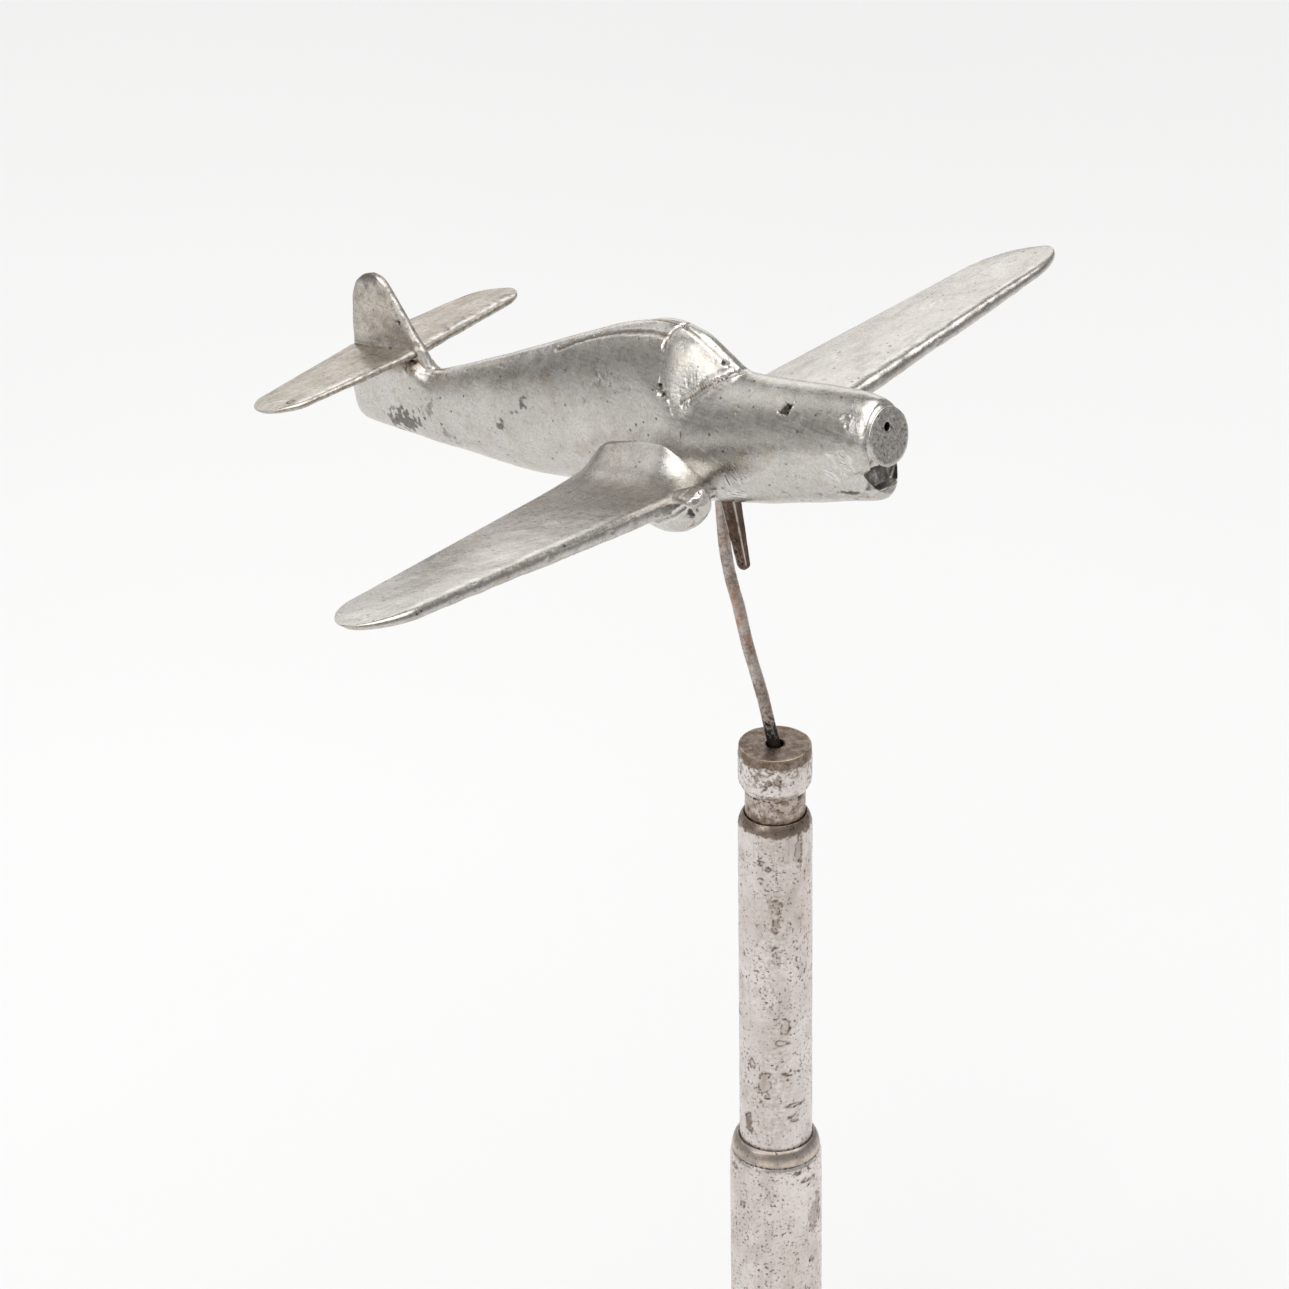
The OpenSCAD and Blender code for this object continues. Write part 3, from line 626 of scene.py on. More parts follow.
def scars(r):
    """Blow holes, dents, scratches and file marks."""
    for x, y, z, *size, depth, dark in (
            (-44.2, -6.6, 5.4, 0.6, 0.7, 1.1, 0.75, 1.1), (-43.4, -6.8, 4.5, 0.6, 0.7, 0.7, 0.5, 1),
            (-42.4, -6.8, 3.9, 0.35, 0.5, 0.4, 0.3, 0.8), (-42.0, -6.9, 3.0, 0.25, 0.5, 0.25, 0.2, 0.7),
            (-41.8, -7.1, 2.2, 0.25, 0.5, 0.3, 0.2, 0.7), (-41.5, -7.2, 1.3, 0.2, 0.5, 0.2, 0.15, 0.6),
            (-17.8, -4.8, 3.4, 1.0, 0.9, 0.95, 0.8, 1.1), (-16.9, -4.6, 3.8, 0.7, 0.7, 0.5, 0.5, 1.1),
            (-59.6, -5.5, 5.4, 0.5, 0.5, 0.4, 0.2, 0.6), (-60.5, -5.5, 5.0, 0.3, 0.5, 0.3, 0.12, 0.6),
            (-58.2, -5.3, 6.1, 0.35, 0.5, 0.3, 0.12, 0.5), (-56.3, -5.9, 5.0, 0.3, 0.5, 0.25, 0.12, 0.5),
            (-60.2, -5.0, 6.4, 0.25, 0.5, 0.25, 0.12, 0.5), (-40.3, -8.0, -2.0, 0.28, 0.5, 0.9, 0.16, 0.85),
            (-63.4, -6.3, 1.4, 0.3, 0.5, 0.3, 0.16, 0.8), (-58.5, -7.1, -1.1, 0.26, 0.5, 0.26, 0.15, 0.8),
            (-28.0, -5.6, 3.0, 0.25, 0.5, 0.25, 0.12, 0.7), (-21.1, -5.4, -11.8, 0.5, 0.5, 0.4, 0.2, 0.6),
            (-13.5, -4.7, -11.5, 0.3, 0.4, 0.3, 0.2, 0.9), (-2.9, -2.6, -11.9, 0.35, 0.35, 0.3, 0.2, 0.9),
            (-17.6, -7.2, -5.2, 0.5, 0.5, 0.3, 0.08, 0.5), (-20.9, -7.0, -7.8, 0.5, 0.5, 0.4, 0.1, 0.5),
            (-16.4, -6.7, -7.7, 0.4, 0.5, 0.4, 0.1, 0.6), (-14.8, -6.5, -8.1, 0.4, 0.5, 0.35, 0.12, 0.6),
            (-5.0, -4.3, 2.5, 0.9, 0.6, 0.9, 0.16, 0.35), (-4.5, -4.8, 1.4, 0.5, 0.5, 0.7, 0.1, 0.4),
            (-109.6, -1.9, -1.2, 1.4, 0.8, 0.7, 0.35, 0.5)):
        r.pit((x, y, z), size, depth, 0.05, dark=dark * 0.9)
    r.pit((-7.2, -4.1, -11.0), (2.6, 0.8, 0.6), 0.3, 0.05, dark=0.8, brown=0.3)
    r.pit((-73.7, -3.9, 4.9), (0.34, 0.4, 0.34), 0.1, 0.07, dark=0.2)
    rng = np.random.default_rng(21)
    for _ in range(210):
        x = -rng.uniform(6, 124)
        a = rng.uniform(-1.3, 1.4) + (math.pi if rng.random() < 0.6 else 0)
        c = body_ring(np.array([x]), np.array([a]))[0, 0]
        size = rng.uniform(0.14, 0.3)
        r.pit(c, (size * rng.uniform(1, 1.6), size, size), rng.uniform(0.04, 0.14), 0.02,
              dark=rng.uniform(0.3, 0.85))
    # scratches and file marks
    scratches = [
        ([(-61.2, -5.6, 4.5), (-56.9, -5.9, 4.8), (-52.5, -6.2, 5.0), (-47.5, -6.4, 5.4)], 0.26, 0.05, 0.35),
        ([(-35.7, -8.0, -3.7), (-30.5, -7.7, -7.8)], 0.34, 0.09, 0.8),
        ([(-29.1, -7.8, -6.2), (-27.4, -7.2, -9.3)], 0.34, 0.09, 0.8),
        ([(-32.0, -7.6, -8.6), (-32.2, -6.8, -11.0)], 0.34, 0.09, 0.8),
        ([(-29.4, -7.7, -7.0), (-28.6, -7.2, -9.6)], 0.34, 0.08, 0.7),
        ([(-30.6, -7.6, -8.4), (-29.6, -7.2, -10.2)], 0.34, 0.08, 0.7),
        ([(-33.5, -5.6, -13.2), (-31.0, -5.4, -13.7)], 0.5, 0.08, 0.7),
        ([(-31.8, -6.0, -12.6), (-30.2, -5.8, -12.9)], 0.5, 0.08, 0.6),
        ([(-7.6, -4.4, 3.0), (-5.0, -4.9, 1.5)], 0.34, 0.08, 0.6),
        ([(-8.0, -4.6, 2.4), (-6.2, -5.0, 1.2)], 0.26, 0.05, 0.4),
        ([(-7.6, -6.1, -1.1), (-5.4, -6.1, -2.0)], 0.28, 0.05, 0.5),
        ([(-6.1, -6.0, -1.4), (-3.8, -5.9, -3.9)], 0.3, 0.06, 0.6),
        ([(-39.4, -4.9, 6.8), (-37.3, -4.2, 7.2)], 0.3, 0.07, 0.5)]
    for _ in range(15):
        x, z = -10.4 + 6 * rng.random(), -2.6 - 4.2 * rng.random()
        length = rng.uniform(0.8, 2.4)
        scratches.append(([(x, -6.35, z), (x + length * 0.75, -6.1, z - length * 0.72)], 0.3,
                          rng.uniform(0.04, 0.08), rng.uniform(0.6, 0.95)))
    for path, width, depth, dark in scratches:
        r.groove(path, width, depth, 0.015, dark=dark)


def stains(r):
    """Dark oxide at the tail, brown at the nose and the roots."""
    for x, y, z, *size, dark, seed in (
            (-113.6, -2.3, -8.0, 4.6, 2, 2.6, 0.55, 1), (-117.5, -2.1, -8.4, 2.2, 2, 2.4, 0.5, 2),
            (-107.0, -3.1, -5.4, 2.1, 2, 2.5, 0.42, 3), (-80.4, -4.9, -1.0, 1.5, 2, 1.4, 0.55, 4),
            (-83.0, -5.0, -3.2, 1.6, 2, 0.8, 0.5, 5), (-87.4, -4.8, -6.0, 1.5, 2, 1.7, 0.55, 6),
            (-103.6, -3.0, -9.9, 2.0, 2, 2.0, 0.4, 7), (-98.0, -3.2, -11.2, 3.0, 2, 1.6, 0.3, 8),
            (-26.4, -7.7, -4.2, 1.3, 1, 1.2, 0.4, 9), (-31.5, -6.4, -10.8, 3.4, 2.4, 2.6, 0.3, 10),
            (-8.0, -6.2, -5.4, 3.2, 2, 2.4, 0.22, 11)):
        r.patch((x, y, z), size, ragged=0.6, grain=1.5, soft=0.6, seed=seed, dark=min(1, dark * 1.35))
        r.patch((x - 2, -y, z + 1), size, ragged=0.55, grain=2.2, soft=0.5, seed=seed + 40, dark=dark * 0.8)
    for x, y, z, *size, brown, seed in (
            (-3.6, -5.4, -0.9, 1.2, 1, 1.1, 0.5, 12), (-82, -3.2, 3.6, 9, 2.2, 1.6, 0.3, 13),
            (-74.5, -3.9, 4.2, 4, 2, 2, 0.3, 14), (-108.6, -1.8, 2.8, 3.0, 2.4, 1.7, 1.0, 15),
            (-112.5, -2.4, 3.0, 2.6, 1.6, 0.5, 0.7, 18), (-108.6, 1.8, 2.8, 3.0, 2.4, 1.7, 0.9, 19),
            (-66, -7, -8, 5, 3, 3, 0.3, 16), (-20, -6, -14, 12, 4, 2, 0.12, 17)):
        r.patch((x, y, z), size, ragged=0.45, grain=3, soft=0.8, seed=seed, brown=brown)


def fin_solder(r):
    """Rough solder at the foot of the fin."""
    p = r.p
    x, z = p[:, 0], p[:, 2]
    seat = smooth((z - 0.4) / 1.4) * smooth((-104.6 - x) / 1.5) * smooth((x + 114) / 3)
    r.h += seat * (0.12 * field(p * [1, 1, 0.5], 1.5, 33) - 0.05)
    r.paint_wear_and_light(seat * cloud(p * [1, 1, 0.35], 1.1, 34, -0.1), brown=0.9)
    r.paint_wear_and_light(seat * cloud(p * [1, 1, 0.35], 1.3, 35, -0.3), bright=0.8)


def front_grime_and_shade(r):
    """Darkens the chin intake with grime ribs and painted shade that deepens to a painted shadow under the
    nose disc, darkens the nose face, paints shade in the pin hole, and paints a brown line of shade above the
    root of the wing.
    """
    p = r.p
    front = np.flatnonzero(p[:, 0] > -4)
    q = p[front]
    deep = smooth((-1.5 - q[:, 0]) / 0.8) * smooth((-5.6 - q[:, 2]) / 0.5)
    deep *= smooth((4.3 - np.abs(q[:, 1])) / 0.5) * smooth((q[:, 2] + 10.7) / 0.6)
    ribs = cloud(q * [1, 1, 0.3], 1.3, 32, 0.5)
    r.h[front] -= deep * 0.08 * ribs
    # painted shade in the intake recess, strongest as a painted shadow just under the nose disc, mottled by
    # grime ribs
    r.paint_wear_and_light(deep * (0.5 + 0.25 * ribs + 0.3 * smooth((q[:, 2] + 8.6) / 1.6)), front, dark=1)
    rim = np.hypot(q[:, 1] / FACE_Y, (q[:, 2] - NOSE_Z) / FACE_Z)
    face = smooth((q[:, 0] + 0.2) / 0.15) * smooth((0.95 - rim) / 0.04)
    r.paint_wear_and_light(face, front, dark=0.52)
    r.paint_wear_and_light(face * cloud(q, 0.9, 44, -0.2), front, dark=0.72)
    # painted shade inside the pin hole
    r.paint_wear_and_light(smooth((PIN_R + 0.12 - np.hypot(q[:, 1], q[:, 2])) / 0.1), front, dark=1)
    share = wing_levels(p[:, 0], ROOT_Y)[2]
    # painted shade: a brown line where the body side turns into the wing-root flare
    arc = bell((p[:, 2] - line(ROOT_TOP, p[:, 0]) - 0.9) / 1.1) * smooth((share + 0.1) / 0.3)
    arc = arc * smooth((1.2 - share) / 0.3) * (0.6 + 0.4 * field(p, 4, 31))
    r.paint_wear_and_light(arc, brown=0.42)


def fuselage_relief(r):
    p = r.p
    on = smooth((-1.2 - p[:, 0]) / 2)
    r.h += on * (0.06 * field(p, 13, 11) + 0.014 * field(p, 5, 12) + 0.004 * field(p, 1.7, 13) - 0.03)
    r.h += (1 - on) * 0.012 * field(p, 1.2, 14)
    r.h -= 0.1 * smooth((p[:, 2] - 12.5) / 2.5)
    for part in (canopy_frames, scars, stains, fin_solder, front_grime_and_shade):
        part(r)


# ---------- flying surfaces ----------

def span_steps(half, tip, count, tip_count):
    inner = np.linspace(0, half - tip, count)
    outer = half - tip + tip * np.sin(np.radians(np.linspace(0, 89.6, tip_count)))[1:]
    y = np.r_[inner, outer]
    return np.r_[-y[:0:-1], y]


def tip_share(y, half, tip):
    return np.sqrt(np.clip(1 - np.clip((np.abs(y) - half + tip) / tip, 0, 1) ** 2, 0, 1))


def section(around):
    """For the points round a wing's section: share of the chord, and 1 above or -1 below."""
    a = turn(around)
    return (1 - np.cos(a)) / 2, np.where(a <= math.pi, 1, -1)


def foil_grid(y, lead, chord, share, thick, front, height, around):
    """Rings along the span: over the top to the trailing edge and back below."""
    s, side = section(around)
    mid = (lead - chord * front)[:, None]
    c = (chord * share)[:, None]
    x = mid + c * front - c * s
    z = height[:, None] + side * half_thick(s[None], thick[:, None])
    return points(x, y[:, None], z)


def wing_grid():
    y = span_steps(WING_HALF, WING_TIP, 170, 36)
    lead, chord, height, thick = wing_plan(y)
    k = tip_share(y, WING_HALF, WING_TIP)
    g = foil_grid(y, lead, chord, k, thick * (0.25 + 0.75 * k) * smooth(k * 8 + 0.3), 0.45, height, 144)
    # the upper skin sweeps up to the side of the body
    top, low, share = wing_levels(g[..., 0], g[..., 1])
    upper = np.clip((g[..., 2] - low) / np.maximum(top - low, 0.3), 0, 1)
    ends = smooth((share + 0.05) / 0.36) * smooth((1.08 - share) / 0.36)
    away = np.clip((np.abs(g[..., 1]) - ROOT_Y) / ROOT_WIDE, 0, 1)
    g[..., 2] += np.maximum(line(ROOT_TOP, g[..., 0]) - top, 0) * (1 - away) ** 3 * upper * ends
    return g


def wing_relief(r):
    p = r.p
    lead, chord, height, _ = wing_plan(p[:, 1])
    share = (lead - p[:, 0]) / chord
    edge = bell(share / 0.05)
    thin = 0.35 + 0.65 * smooth((1 - share) / 0.35)
    inner = smooth((WING_HALF - np.abs(p[:, 1])) / 3)
    r.h += thin * inner * (0.07 * field(p, 16, 41) + 0.03 * field(p, 6, 42) + 0.01 * field(p, 2, 43))
    r.h += edge * inner * 0.035 * field(p, 3.5, 44)
    for y in (-18.5, -20.5, -27, -33, -48, -71, 24, 37, 52, 66):
        front, _, z, _ = wing_plan(y)
        r.pit((front, y, z), (0.8, 0.9, 0.8), 0.12, 0.03, dark=0.35)
    for path in ([(-41.6, -30.2, -8.6), (-43.4, -29.0, -8.5)], [(-46, -35.8, -8.0), (-49.5, -33.5, -8.2)],
                 [(-44.2, -38.5, -7.5), (-47, -36.6, -7.6)], [(-37.6, -86.5, -3.2), (-39.2, -85.2, -3.3)],
                 [(-60.6, -9.6, -10.8), (-66, -9.9, -11.8)], [(-47, 40, -7.2), (-52, 43, -7.4)],
                 [(-45, 61, -5.2), (-43, 66, -4.8)]):
        r.groove(path, 0.34, 0.045, 0.012, dark=0.25, brown=0.2)
    rng = np.random.default_rng(45)
    for _ in range(150):
        y = rng.uniform(-84, 84)
        x = -38 - rng.uniform(0, 24 - 0.12 * abs(y))
        top, low, _ = wing_levels(x, y)
        z = top if rng.random() < 0.7 else low
        size = rng.uniform(0.2, 0.38)
        r.pit((x, y, z), (size, size * 1.3, size), rng.uniform(0.03, 0.09), 0.01, dark=rng.uniform(0.2, 0.6))
    tone = smooth(0.5 + 0.4 * field(p, 11, 46) + 0.25 * field(p, 3, 47))
    root = bell((np.abs(p[:, 1]) - 11) / 7)
    rear = bell((share - 0.8) / 0.25)
    r.paint_wear_and_light(tone, brown=0.09)
    r.paint_wear_and_light(tone * np.clip(root + 0.6 * rear, 0, 1), brown=0.22)
    # painted highlight along the rounded top of the leading edge
    painted_ridge_highlight = bell((share - 0.075) / 0.035) * (p[:, 2] > height)
    r.paint_wear_and_light(painted_ridge_highlight * cloud(p, 2.5, 48, 0.7), bright=0.45)
    # painted shade on the blunt front face of the leading edge
    face = smooth((0.03 - share) / 0.015)
    r.paint_wear_and_light(face * cloud(p, 3, 49, 0.55, 0.8), dark=0.42)
    streaks = field(p * [1, 0.14, 1], 2.4, 50)
    r.paint_wear_and_light(smooth(1.2 * streaks - 0.25) * cloud(p, 9, 40, 0.4), brown=0.3)


def tail_grid():
    y = span_steps(TAIL_HALF, TAIL_TIP, 100, 30)
    lead, chord, thick = tail_plan(y)
    k = tip_share(y, TAIL_HALF, TAIL_TIP)
    return foil_grid(y, lead, chord, k, thick * (0.3 + 0.7 * k) * smooth(k * 8 + 0.3), 0.5,
                     np.full_like(y, TAIL_Z), 96)


def tail_relief(r):
    p = r.p
    x, y, z = p.T
    lead, chord, _ = tail_plan(y)
    share = (lead - x) / chord
    inner = smooth((TAIL_HALF - np.abs(y)) / 2)
    r.h += inner * (0.05 * field(p, 8, 51) + 0.02 * field(p, 3, 52))
    edge = bell(share / 0.07)
    r.h += edge * 0.03 * field(p, 2.4, 53)
    r.pit((-114.3, -27.6, 4.4), (0.7, 0.8, 0.8), 0.35, 0.06, dark=0.7)
    r.groove([(-115.4, -27.0, 4.9), (-117.6, -27.6, 4.9), (-119, -29, 4.7)], 0.3, 0.07, 0.02,
             dark=0.6, brown=0.3)
    # painted highlight along the rounded top of the leading edge
    painted_ridge_highlight = bell((share - 0.07) / 0.04) * (z > TAIL_Z)
    r.paint_wear_and_light(painted_ridge_highlight * cloud(p, 1.8, 54, 1), bright=0.9)
    # painted shade on the front face of the leading edge
    r.paint_wear_and_light(smooth((0.035 - share) / 0.02) * cloud(p, 1.3, 55, 0.5, 1.2), dark=0.5)
    streaks = field(p * [1, 0.16, 1], 1.5, 56)
    r.paint_wear_and_light(smooth(0.35 + 0.8 * streaks) * (1 - painted_ridge_highlight), brown=0.3)
    r.h += 0.02 * streaks * inner
    far = smooth((y - 3) / 6) * bell((share - 0.14) / 0.2)
    r.paint_wear_and_light(far * cloud(p, 2.2, 57, 0.6), dark=0.55)
    under = smooth((6.5 - np.abs(y)) / 4) * smooth((TAIL_Z - z) / 0.3)
    r.paint_wear_and_light(under * cloud(p, 1.8, 58, 0.5), brown=0.75)


FIN_FOOT, FIN_CAP, FIN_TALL = -3, 17, 2.4  # foot, where the rounded top starts, and its height
# height, front edge, rear edge
FIN_LINES = [[-3, -104.5, -126.4], [1, -106.6, -126.4], [4.3, -107.8, -126], [9.5, -110.4, -125],
             [14.8, -112.9, -123.6], [17.6, -114.3, -121.8], [19, -115.9, -119.6], [19.4, -117, -118.2]]


def fin_grid():
    cap = FIN_TALL * np.sin(np.radians(np.linspace(0, 89, 26)))[1:]
    z = np.r_[np.linspace(FIN_FOOT, FIN_CAP, 90), FIN_CAP + cap]
    lead, rear = line(FIN_LINES, z, 1), line(FIN_LINES, z, 2)
    for _ in range(8):
        lead[1:-1] = (lead[:-2] + 2 * lead[1:-1] + lead[2:]) / 4
        rear[1:-1] = (rear[:-2] + 2 * rear[1:-1] + rear[2:]) / 4
    taper = 1 - 0.45 * (z - FIN_FOOT) / (FIN_CAP - FIN_FOOT + FIN_TALL)
    thick = 2.6 * taper * np.sqrt(np.clip((19.9 - z) / 1.6, 0.05, 1))
    s, side = section(112)
    x = lead[:, None] + (rear - lead)[:, None] * s
    # a small fillet where it stands on the tailplane
    fillet = 0.5 * bell((z[:, None] - 4.9) / 0.5) * np.sin(math.pi * s) ** 0.5
    y = side * (half_thick(s[None], thick[:, None]) + fillet)
    z = z - 0.055 * np.maximum(z - 5, 0)
    return points(x, y, z[:, None])


def fin_relief(r):
    p = r.p
    x, z = p[:, 0], p[:, 2]
    lead = line(FIN_LINES, z, 1)
    edge = bell((x - lead) / 0.7)
    r.h += 0.05 * field(p, 7, 61) + 0.02 * field(p, 2.6, 62) + edge * 0.03 * field(p, 1.8, 63)
    r.h -= 0.22 * smooth((z - 17.5) / 1.6)
    low = smooth((4.6 - z) / 1.5)
    r.h += low * 0.05 * field(p, 1.8, 64)
    r.pit((-112.3, -0.9, 9.8), (0.6, 0.6, 0.5), 0.4, 0.05, dark=0.95)
    r.pit((-118.4, -0.9, 11.8), (0.25, 0.4, 0.25), 0.12, dark=0.8)
    r.pit((-119.4, -0.9, 8.2), (0.3, 0.4, 0.25), 0.12, dark=0.7)
    # painted highlight along the fin's leading edge
    r.paint_wear_and_light(edge * cloud(p, 1.5, 65, 0.7), bright=0.7)
    r.paint_wear_and_light(edge * cloud(p, 1.2, 66, -0.2, 1.5), dark=0.55)
    r.paint_wear_and_light(smooth((z - 11.5 + 2.4 * field(p, 3, 67)) / 6.5) * (1 - edge), dark=0.6)
    r.paint_wear_and_light(cloud(p, 3.4, 68, 0.35) * smooth((15 - z) / 6), brown=0.25)
    r.paint_wear_and_light(cloud(p, 2.1, 59, 0) * (1 - edge), dark=0.42)
    streaks = field(p * [1, 1, 0.3], 1.1, 69)
    r.paint_wear_and_light(low * smooth(0.4 + 1.1 * streaks) * (1 - edge), brown=0.8)
    # painted highlight on the leading edge near the foot
    r.paint_wear_and_light(low * edge, bright=0.7)


# ---------- gear fairings ----------

FAIRING_Y = 14
# x, half width, top, bottom
FAIRING = [[-31.4, 1.2, -9.6, -11.6], [-32.1, 2.3, -9.0, -13.4], [-34.2, 3.0, -8.8, -15.5],
           [-37, 3.2, -9.4, -16.6], [-41, 2.9, -10.3, -16.6], [-45.5, 2.0, -11.2, -15.4],
           [-50, 0.5, -12.2, -13.4]]


def fairing_grid(side):
    front, rear = FAIRING[0][0], FAIRING[-1][0]
    x = np.r_[front - 0.8 * (1 - np.cos(np.linspace(0, 1.5, 24))), np.linspace(front - 0.9, rear, 80)]
    a = turn(80)
    w, top, low = (curve(FAIRING, x[:, None], k) for k in (1, 2, 3))
    c, s = np.cos(a), np.sin(a)
    square = (np.abs(c) ** 2.6 + np.abs(s) ** 2.6) ** (-1 / 2.6)
    y = side * FAIRING_Y + w * c * square
    z = (top + low) / 2 + (top - low) / 2 * s * square
    g = points(x[:, None], y, z)
    first = g[0]
    centre = first.mean(0)
    cap = [centre + (first - centre) * t for t in np.linspace(0.05, 0.95, 8)]
    last = g[-1]
    end = last.mean(0)
    close = [end + (last - end) * t for t in (0.6, 0.15)]
    return np.concatenate([cap, g, close])


def fairing_relief(side):
    def relief(r):
        p = r.p
        r.h += 0.05 * field(p, 4, 81) + 0.02 * field(p, 1.6, 82)
        for x, y, z, *size, depth, dark in (
                (-33.2, 15.1, -9.2, 1.5, 1.5, 0.9, 0.22, 0.3), (-32.9, 16.3, -12.0, 0.9, 0.8, 1.0, 0.45, 1),
                (-32.2, 15.4, -11.6, 0.6, 0.6, 0.7, 0.3, 0.9)):
            r.pit((x, side * y, z), size, depth, 0.05, dark=dark, brown=0.35)
        r.groove([(-33.4, side * 16.7, -11.0), (-36.6, side * 17.1, -12.8), (-40.1, side * 16.9, -14.2),
                  (-44, side * 16.4, -14.4)], 0.6, 0.25, 0.05, dark=0.6)
        r.groove([(-31.6, side * 14.4, -9.9), (-31.9, side * 15.4, -10.8), (-32.2, side * 15.9, -11.3)],
                 0.4, -0.14, bright=0.8)
        r.paint_wear_and_light(cloud(p, 1.5, 83, -0.1, 0.9), dark=0.3)
        r.paint_wear_and_light(cloud(p, 2.6, 84, 0.2) * smooth((p[:, 2] + 12) / 2), brown=0.35)
    return relief


# ---------- tang and wire ----------

TANG = dict(x=-38.0, y=-1.5, top=-12.0, tip=-29.0, tip_r=1.25, half_w=1.95, half_t=1.15, tip_t=0.55)


def tang_grid():
    t = TANG
    level = t["tip"] + t["tip_r"]
    end = level - t["tip_r"] * np.sin(np.radians(np.linspace(0, 88, 26)))[1:]
    z = np.r_[np.linspace(t["top"], level, 90), end]
    share = np.clip((t["top"] - z) / (t["top"] - level), 0, 1)
    w = t["half_w"] + (t["tip_r"] - t["half_w"]) * share
    w = np.where(z < level, np.sqrt(np.clip(t["tip_r"] ** 2 - (level - z) ** 2, 1e-4, None)), w)
    d = t["half_t"] + (t["tip_t"] - t["half_t"]) * share
    d = np.where(z < level, d * np.clip(w / t["tip_r"], 0, 1) ** 0.4, d)
    a = (np.arange(96) + 0.5) * TAU / 96
    c, s = np.cos(a), np.sin(a)
    square = (np.abs(c) ** 7 + np.abs(s) ** 7) ** (-1 / 7)
    x = t["x"] + w[:, None] * c * square
    y = t["y"] + d[:, None] * s * square
    return points(x, y, z[:, None])


def tang_relief(r):
    p, t = r.p, TANG
    x, y, z = p.T
    r.h += 0.015 * field(p, 4, 91) + 0.01 * field(p, 1.2, 92) - 0.015
    level = t["tip"] + t["tip_r"]
    share = np.clip((t["top"] - z) / (t["top"] - level), 0, 1)
    u = np.abs(x - t["x"]) / (t["half_w"] + (t["tip_r"] - t["half_w"]) * share)
    v = np.abs(y - t["y"]) / (t["half_t"] + (t["tip_t"] - t["half_t"]) * share)
    # painted highlights along the tang's edges
    corner = smooth((np.minimum(u, v) - 0.74) / 0.1) * smooth((z - level + 0.6) / 1)
    r.paint_wear_and_light(corner * cloud(p, 2, 93, 1.3), bright=0.85)
    # painted highlight on the band along the tang's front edge
    front = smooth((x - t["x"]) / t["half_w"] - 0.62) * 2
    r.paint_wear_and_light(np.clip(front, 0, 1), bright=0.28)
    for dz in (1.6, 2.6, 3.4, 5.2, 0.9):
        for k, dx in enumerate((-0.5, 0.35)):
            at = t["x"] + dx, t["y"] - 0.7, t["tip"] + dz + 0.4 * k
            r.pit(at, (0.24, 0.5, 0.24), 0.09, 0.02, dark=0.9)
    r.paint_wear_and_light(cloud(p, 3, 94, 0.2), brown=0.18)


# x and height above the head, up the wire
ROUTE = [[0, -2.5], [-0.1, -0.5], [-0.7, 1.4], [-3.1, 9.2], [-6.1, 17], [-8.2, 24.1], [-10.3, 30.2],
         [-11.4, 36], [-11.9, 42], [-12.2, 49], [-12.3, 55]]
WIRE_R, PIN_DEEP = 1.1, 22.0


def wire_grid(head_top):
    route = np.array([[0, -PIN_DEEP], [0, -12]] + ROUTE, float)
    z = np.r_[np.linspace(-PIN_DEEP, -3, 30), np.linspace(-2.8, 54.9, 230)]
    t = np.c_[-route[:, 1], route[:, 0]][::-1]
    x = curve(t[np.argsort(-t[:, 0])], -z, 1)
    slope = np.gradient(x, z)
    length = np.sqrt(1 + slope ** 2)
    a = turn(40)
    dx, dz = slope / length, 1 / length
    gx = x[:, None] + WIRE_R * np.cos(a) * dz[:, None]
    gz = z[:, None] - WIRE_R * np.cos(a) * dx[:, None] + head_top
    return points(gx, WIRE_R * np.sin(a), gz)


def wire_relief(head_top):
    def relief(r):
        p = r.p
        z = p[:, 2] - head_top
        free = smooth((z - 1.5) / 2)
        r.h += free * (0.02 * field(p, 5, 95) + 0.01 * field(p, 1.6, 96)) - 0.03 * free
        r.paint_wear_and_light(free * smooth((z - 15) / 4) * smooth((30 - z) / 4) * cloud(p, 2.4, 97, 0.35),
               brown=0.75)
        r.paint_wear_and_light(free * smooth((z - 34) / 3) * cloud(p, 2.4, 98, 0.1), brown=0.65)
        r.paint_wear_and_light(smooth((9 - z) / 8) * smooth((z + 4) / 2), dark=0.75)
        r.paint_wear_and_light(free * cloud(p, 1.4, 99, -0.35), bright=0.3)
    return relief


# ---------- post ----------

def lathe(profile, around, steps):
    """Rings round the post's axis from a closed profile of [radius, height, rounding] corners.
    steps is the longest step along the profile, in mm, by height: a list of [height above which, step]."""
    pts = [np.array(c[:2], float) for c in profile]
    out = []
    for i, c in enumerate(profile):
        p, a, b = pts[i], pts[i - 1], pts[(i + 1) % len(pts)]
        r = c[2] if len(c) > 2 else 0
        if r:
            u, v = (a - p) / np.linalg.norm(a - p), (b - p) / np.linalg.norm(b - p)
            r = min(r, 0.45 * np.linalg.norm(a - p), 0.45 * np.linalg.norm(b - p))
            for t in np.linspace(0, 1, 5):
                out.append(p + u * r * (1 - t) ** 2 + v * r * t ** 2)
        else:
            out.append(p)
    dense = []
    for a, b in zip(out, out[1:] + out[:1]):
        high = max(a[1], b[1])
        step = next(s for level, s in steps if high >= level)
        n = max(1, int(math.ceil(np.linalg.norm(b - a) / step)))
        dense += [a + (b - a) * k / n for k in range(n)]
    d = np.array(dense)
    a = turn(around)
    return points(d[:, :1] * np.cos(a), d[:, :1] * np.sin(a), d[:, 1:])


def polar(p):
    return np.hypot(p[:, 0], p[:, 1]), np.degrees(np.arctan2(p[:, 1], p[:, 0])), p[:, 2]


def on_tube(radius, degrees, z):
    t = math.radians(degrees)
    return (radius * math.cos(t), radius * math.sin(t), z)


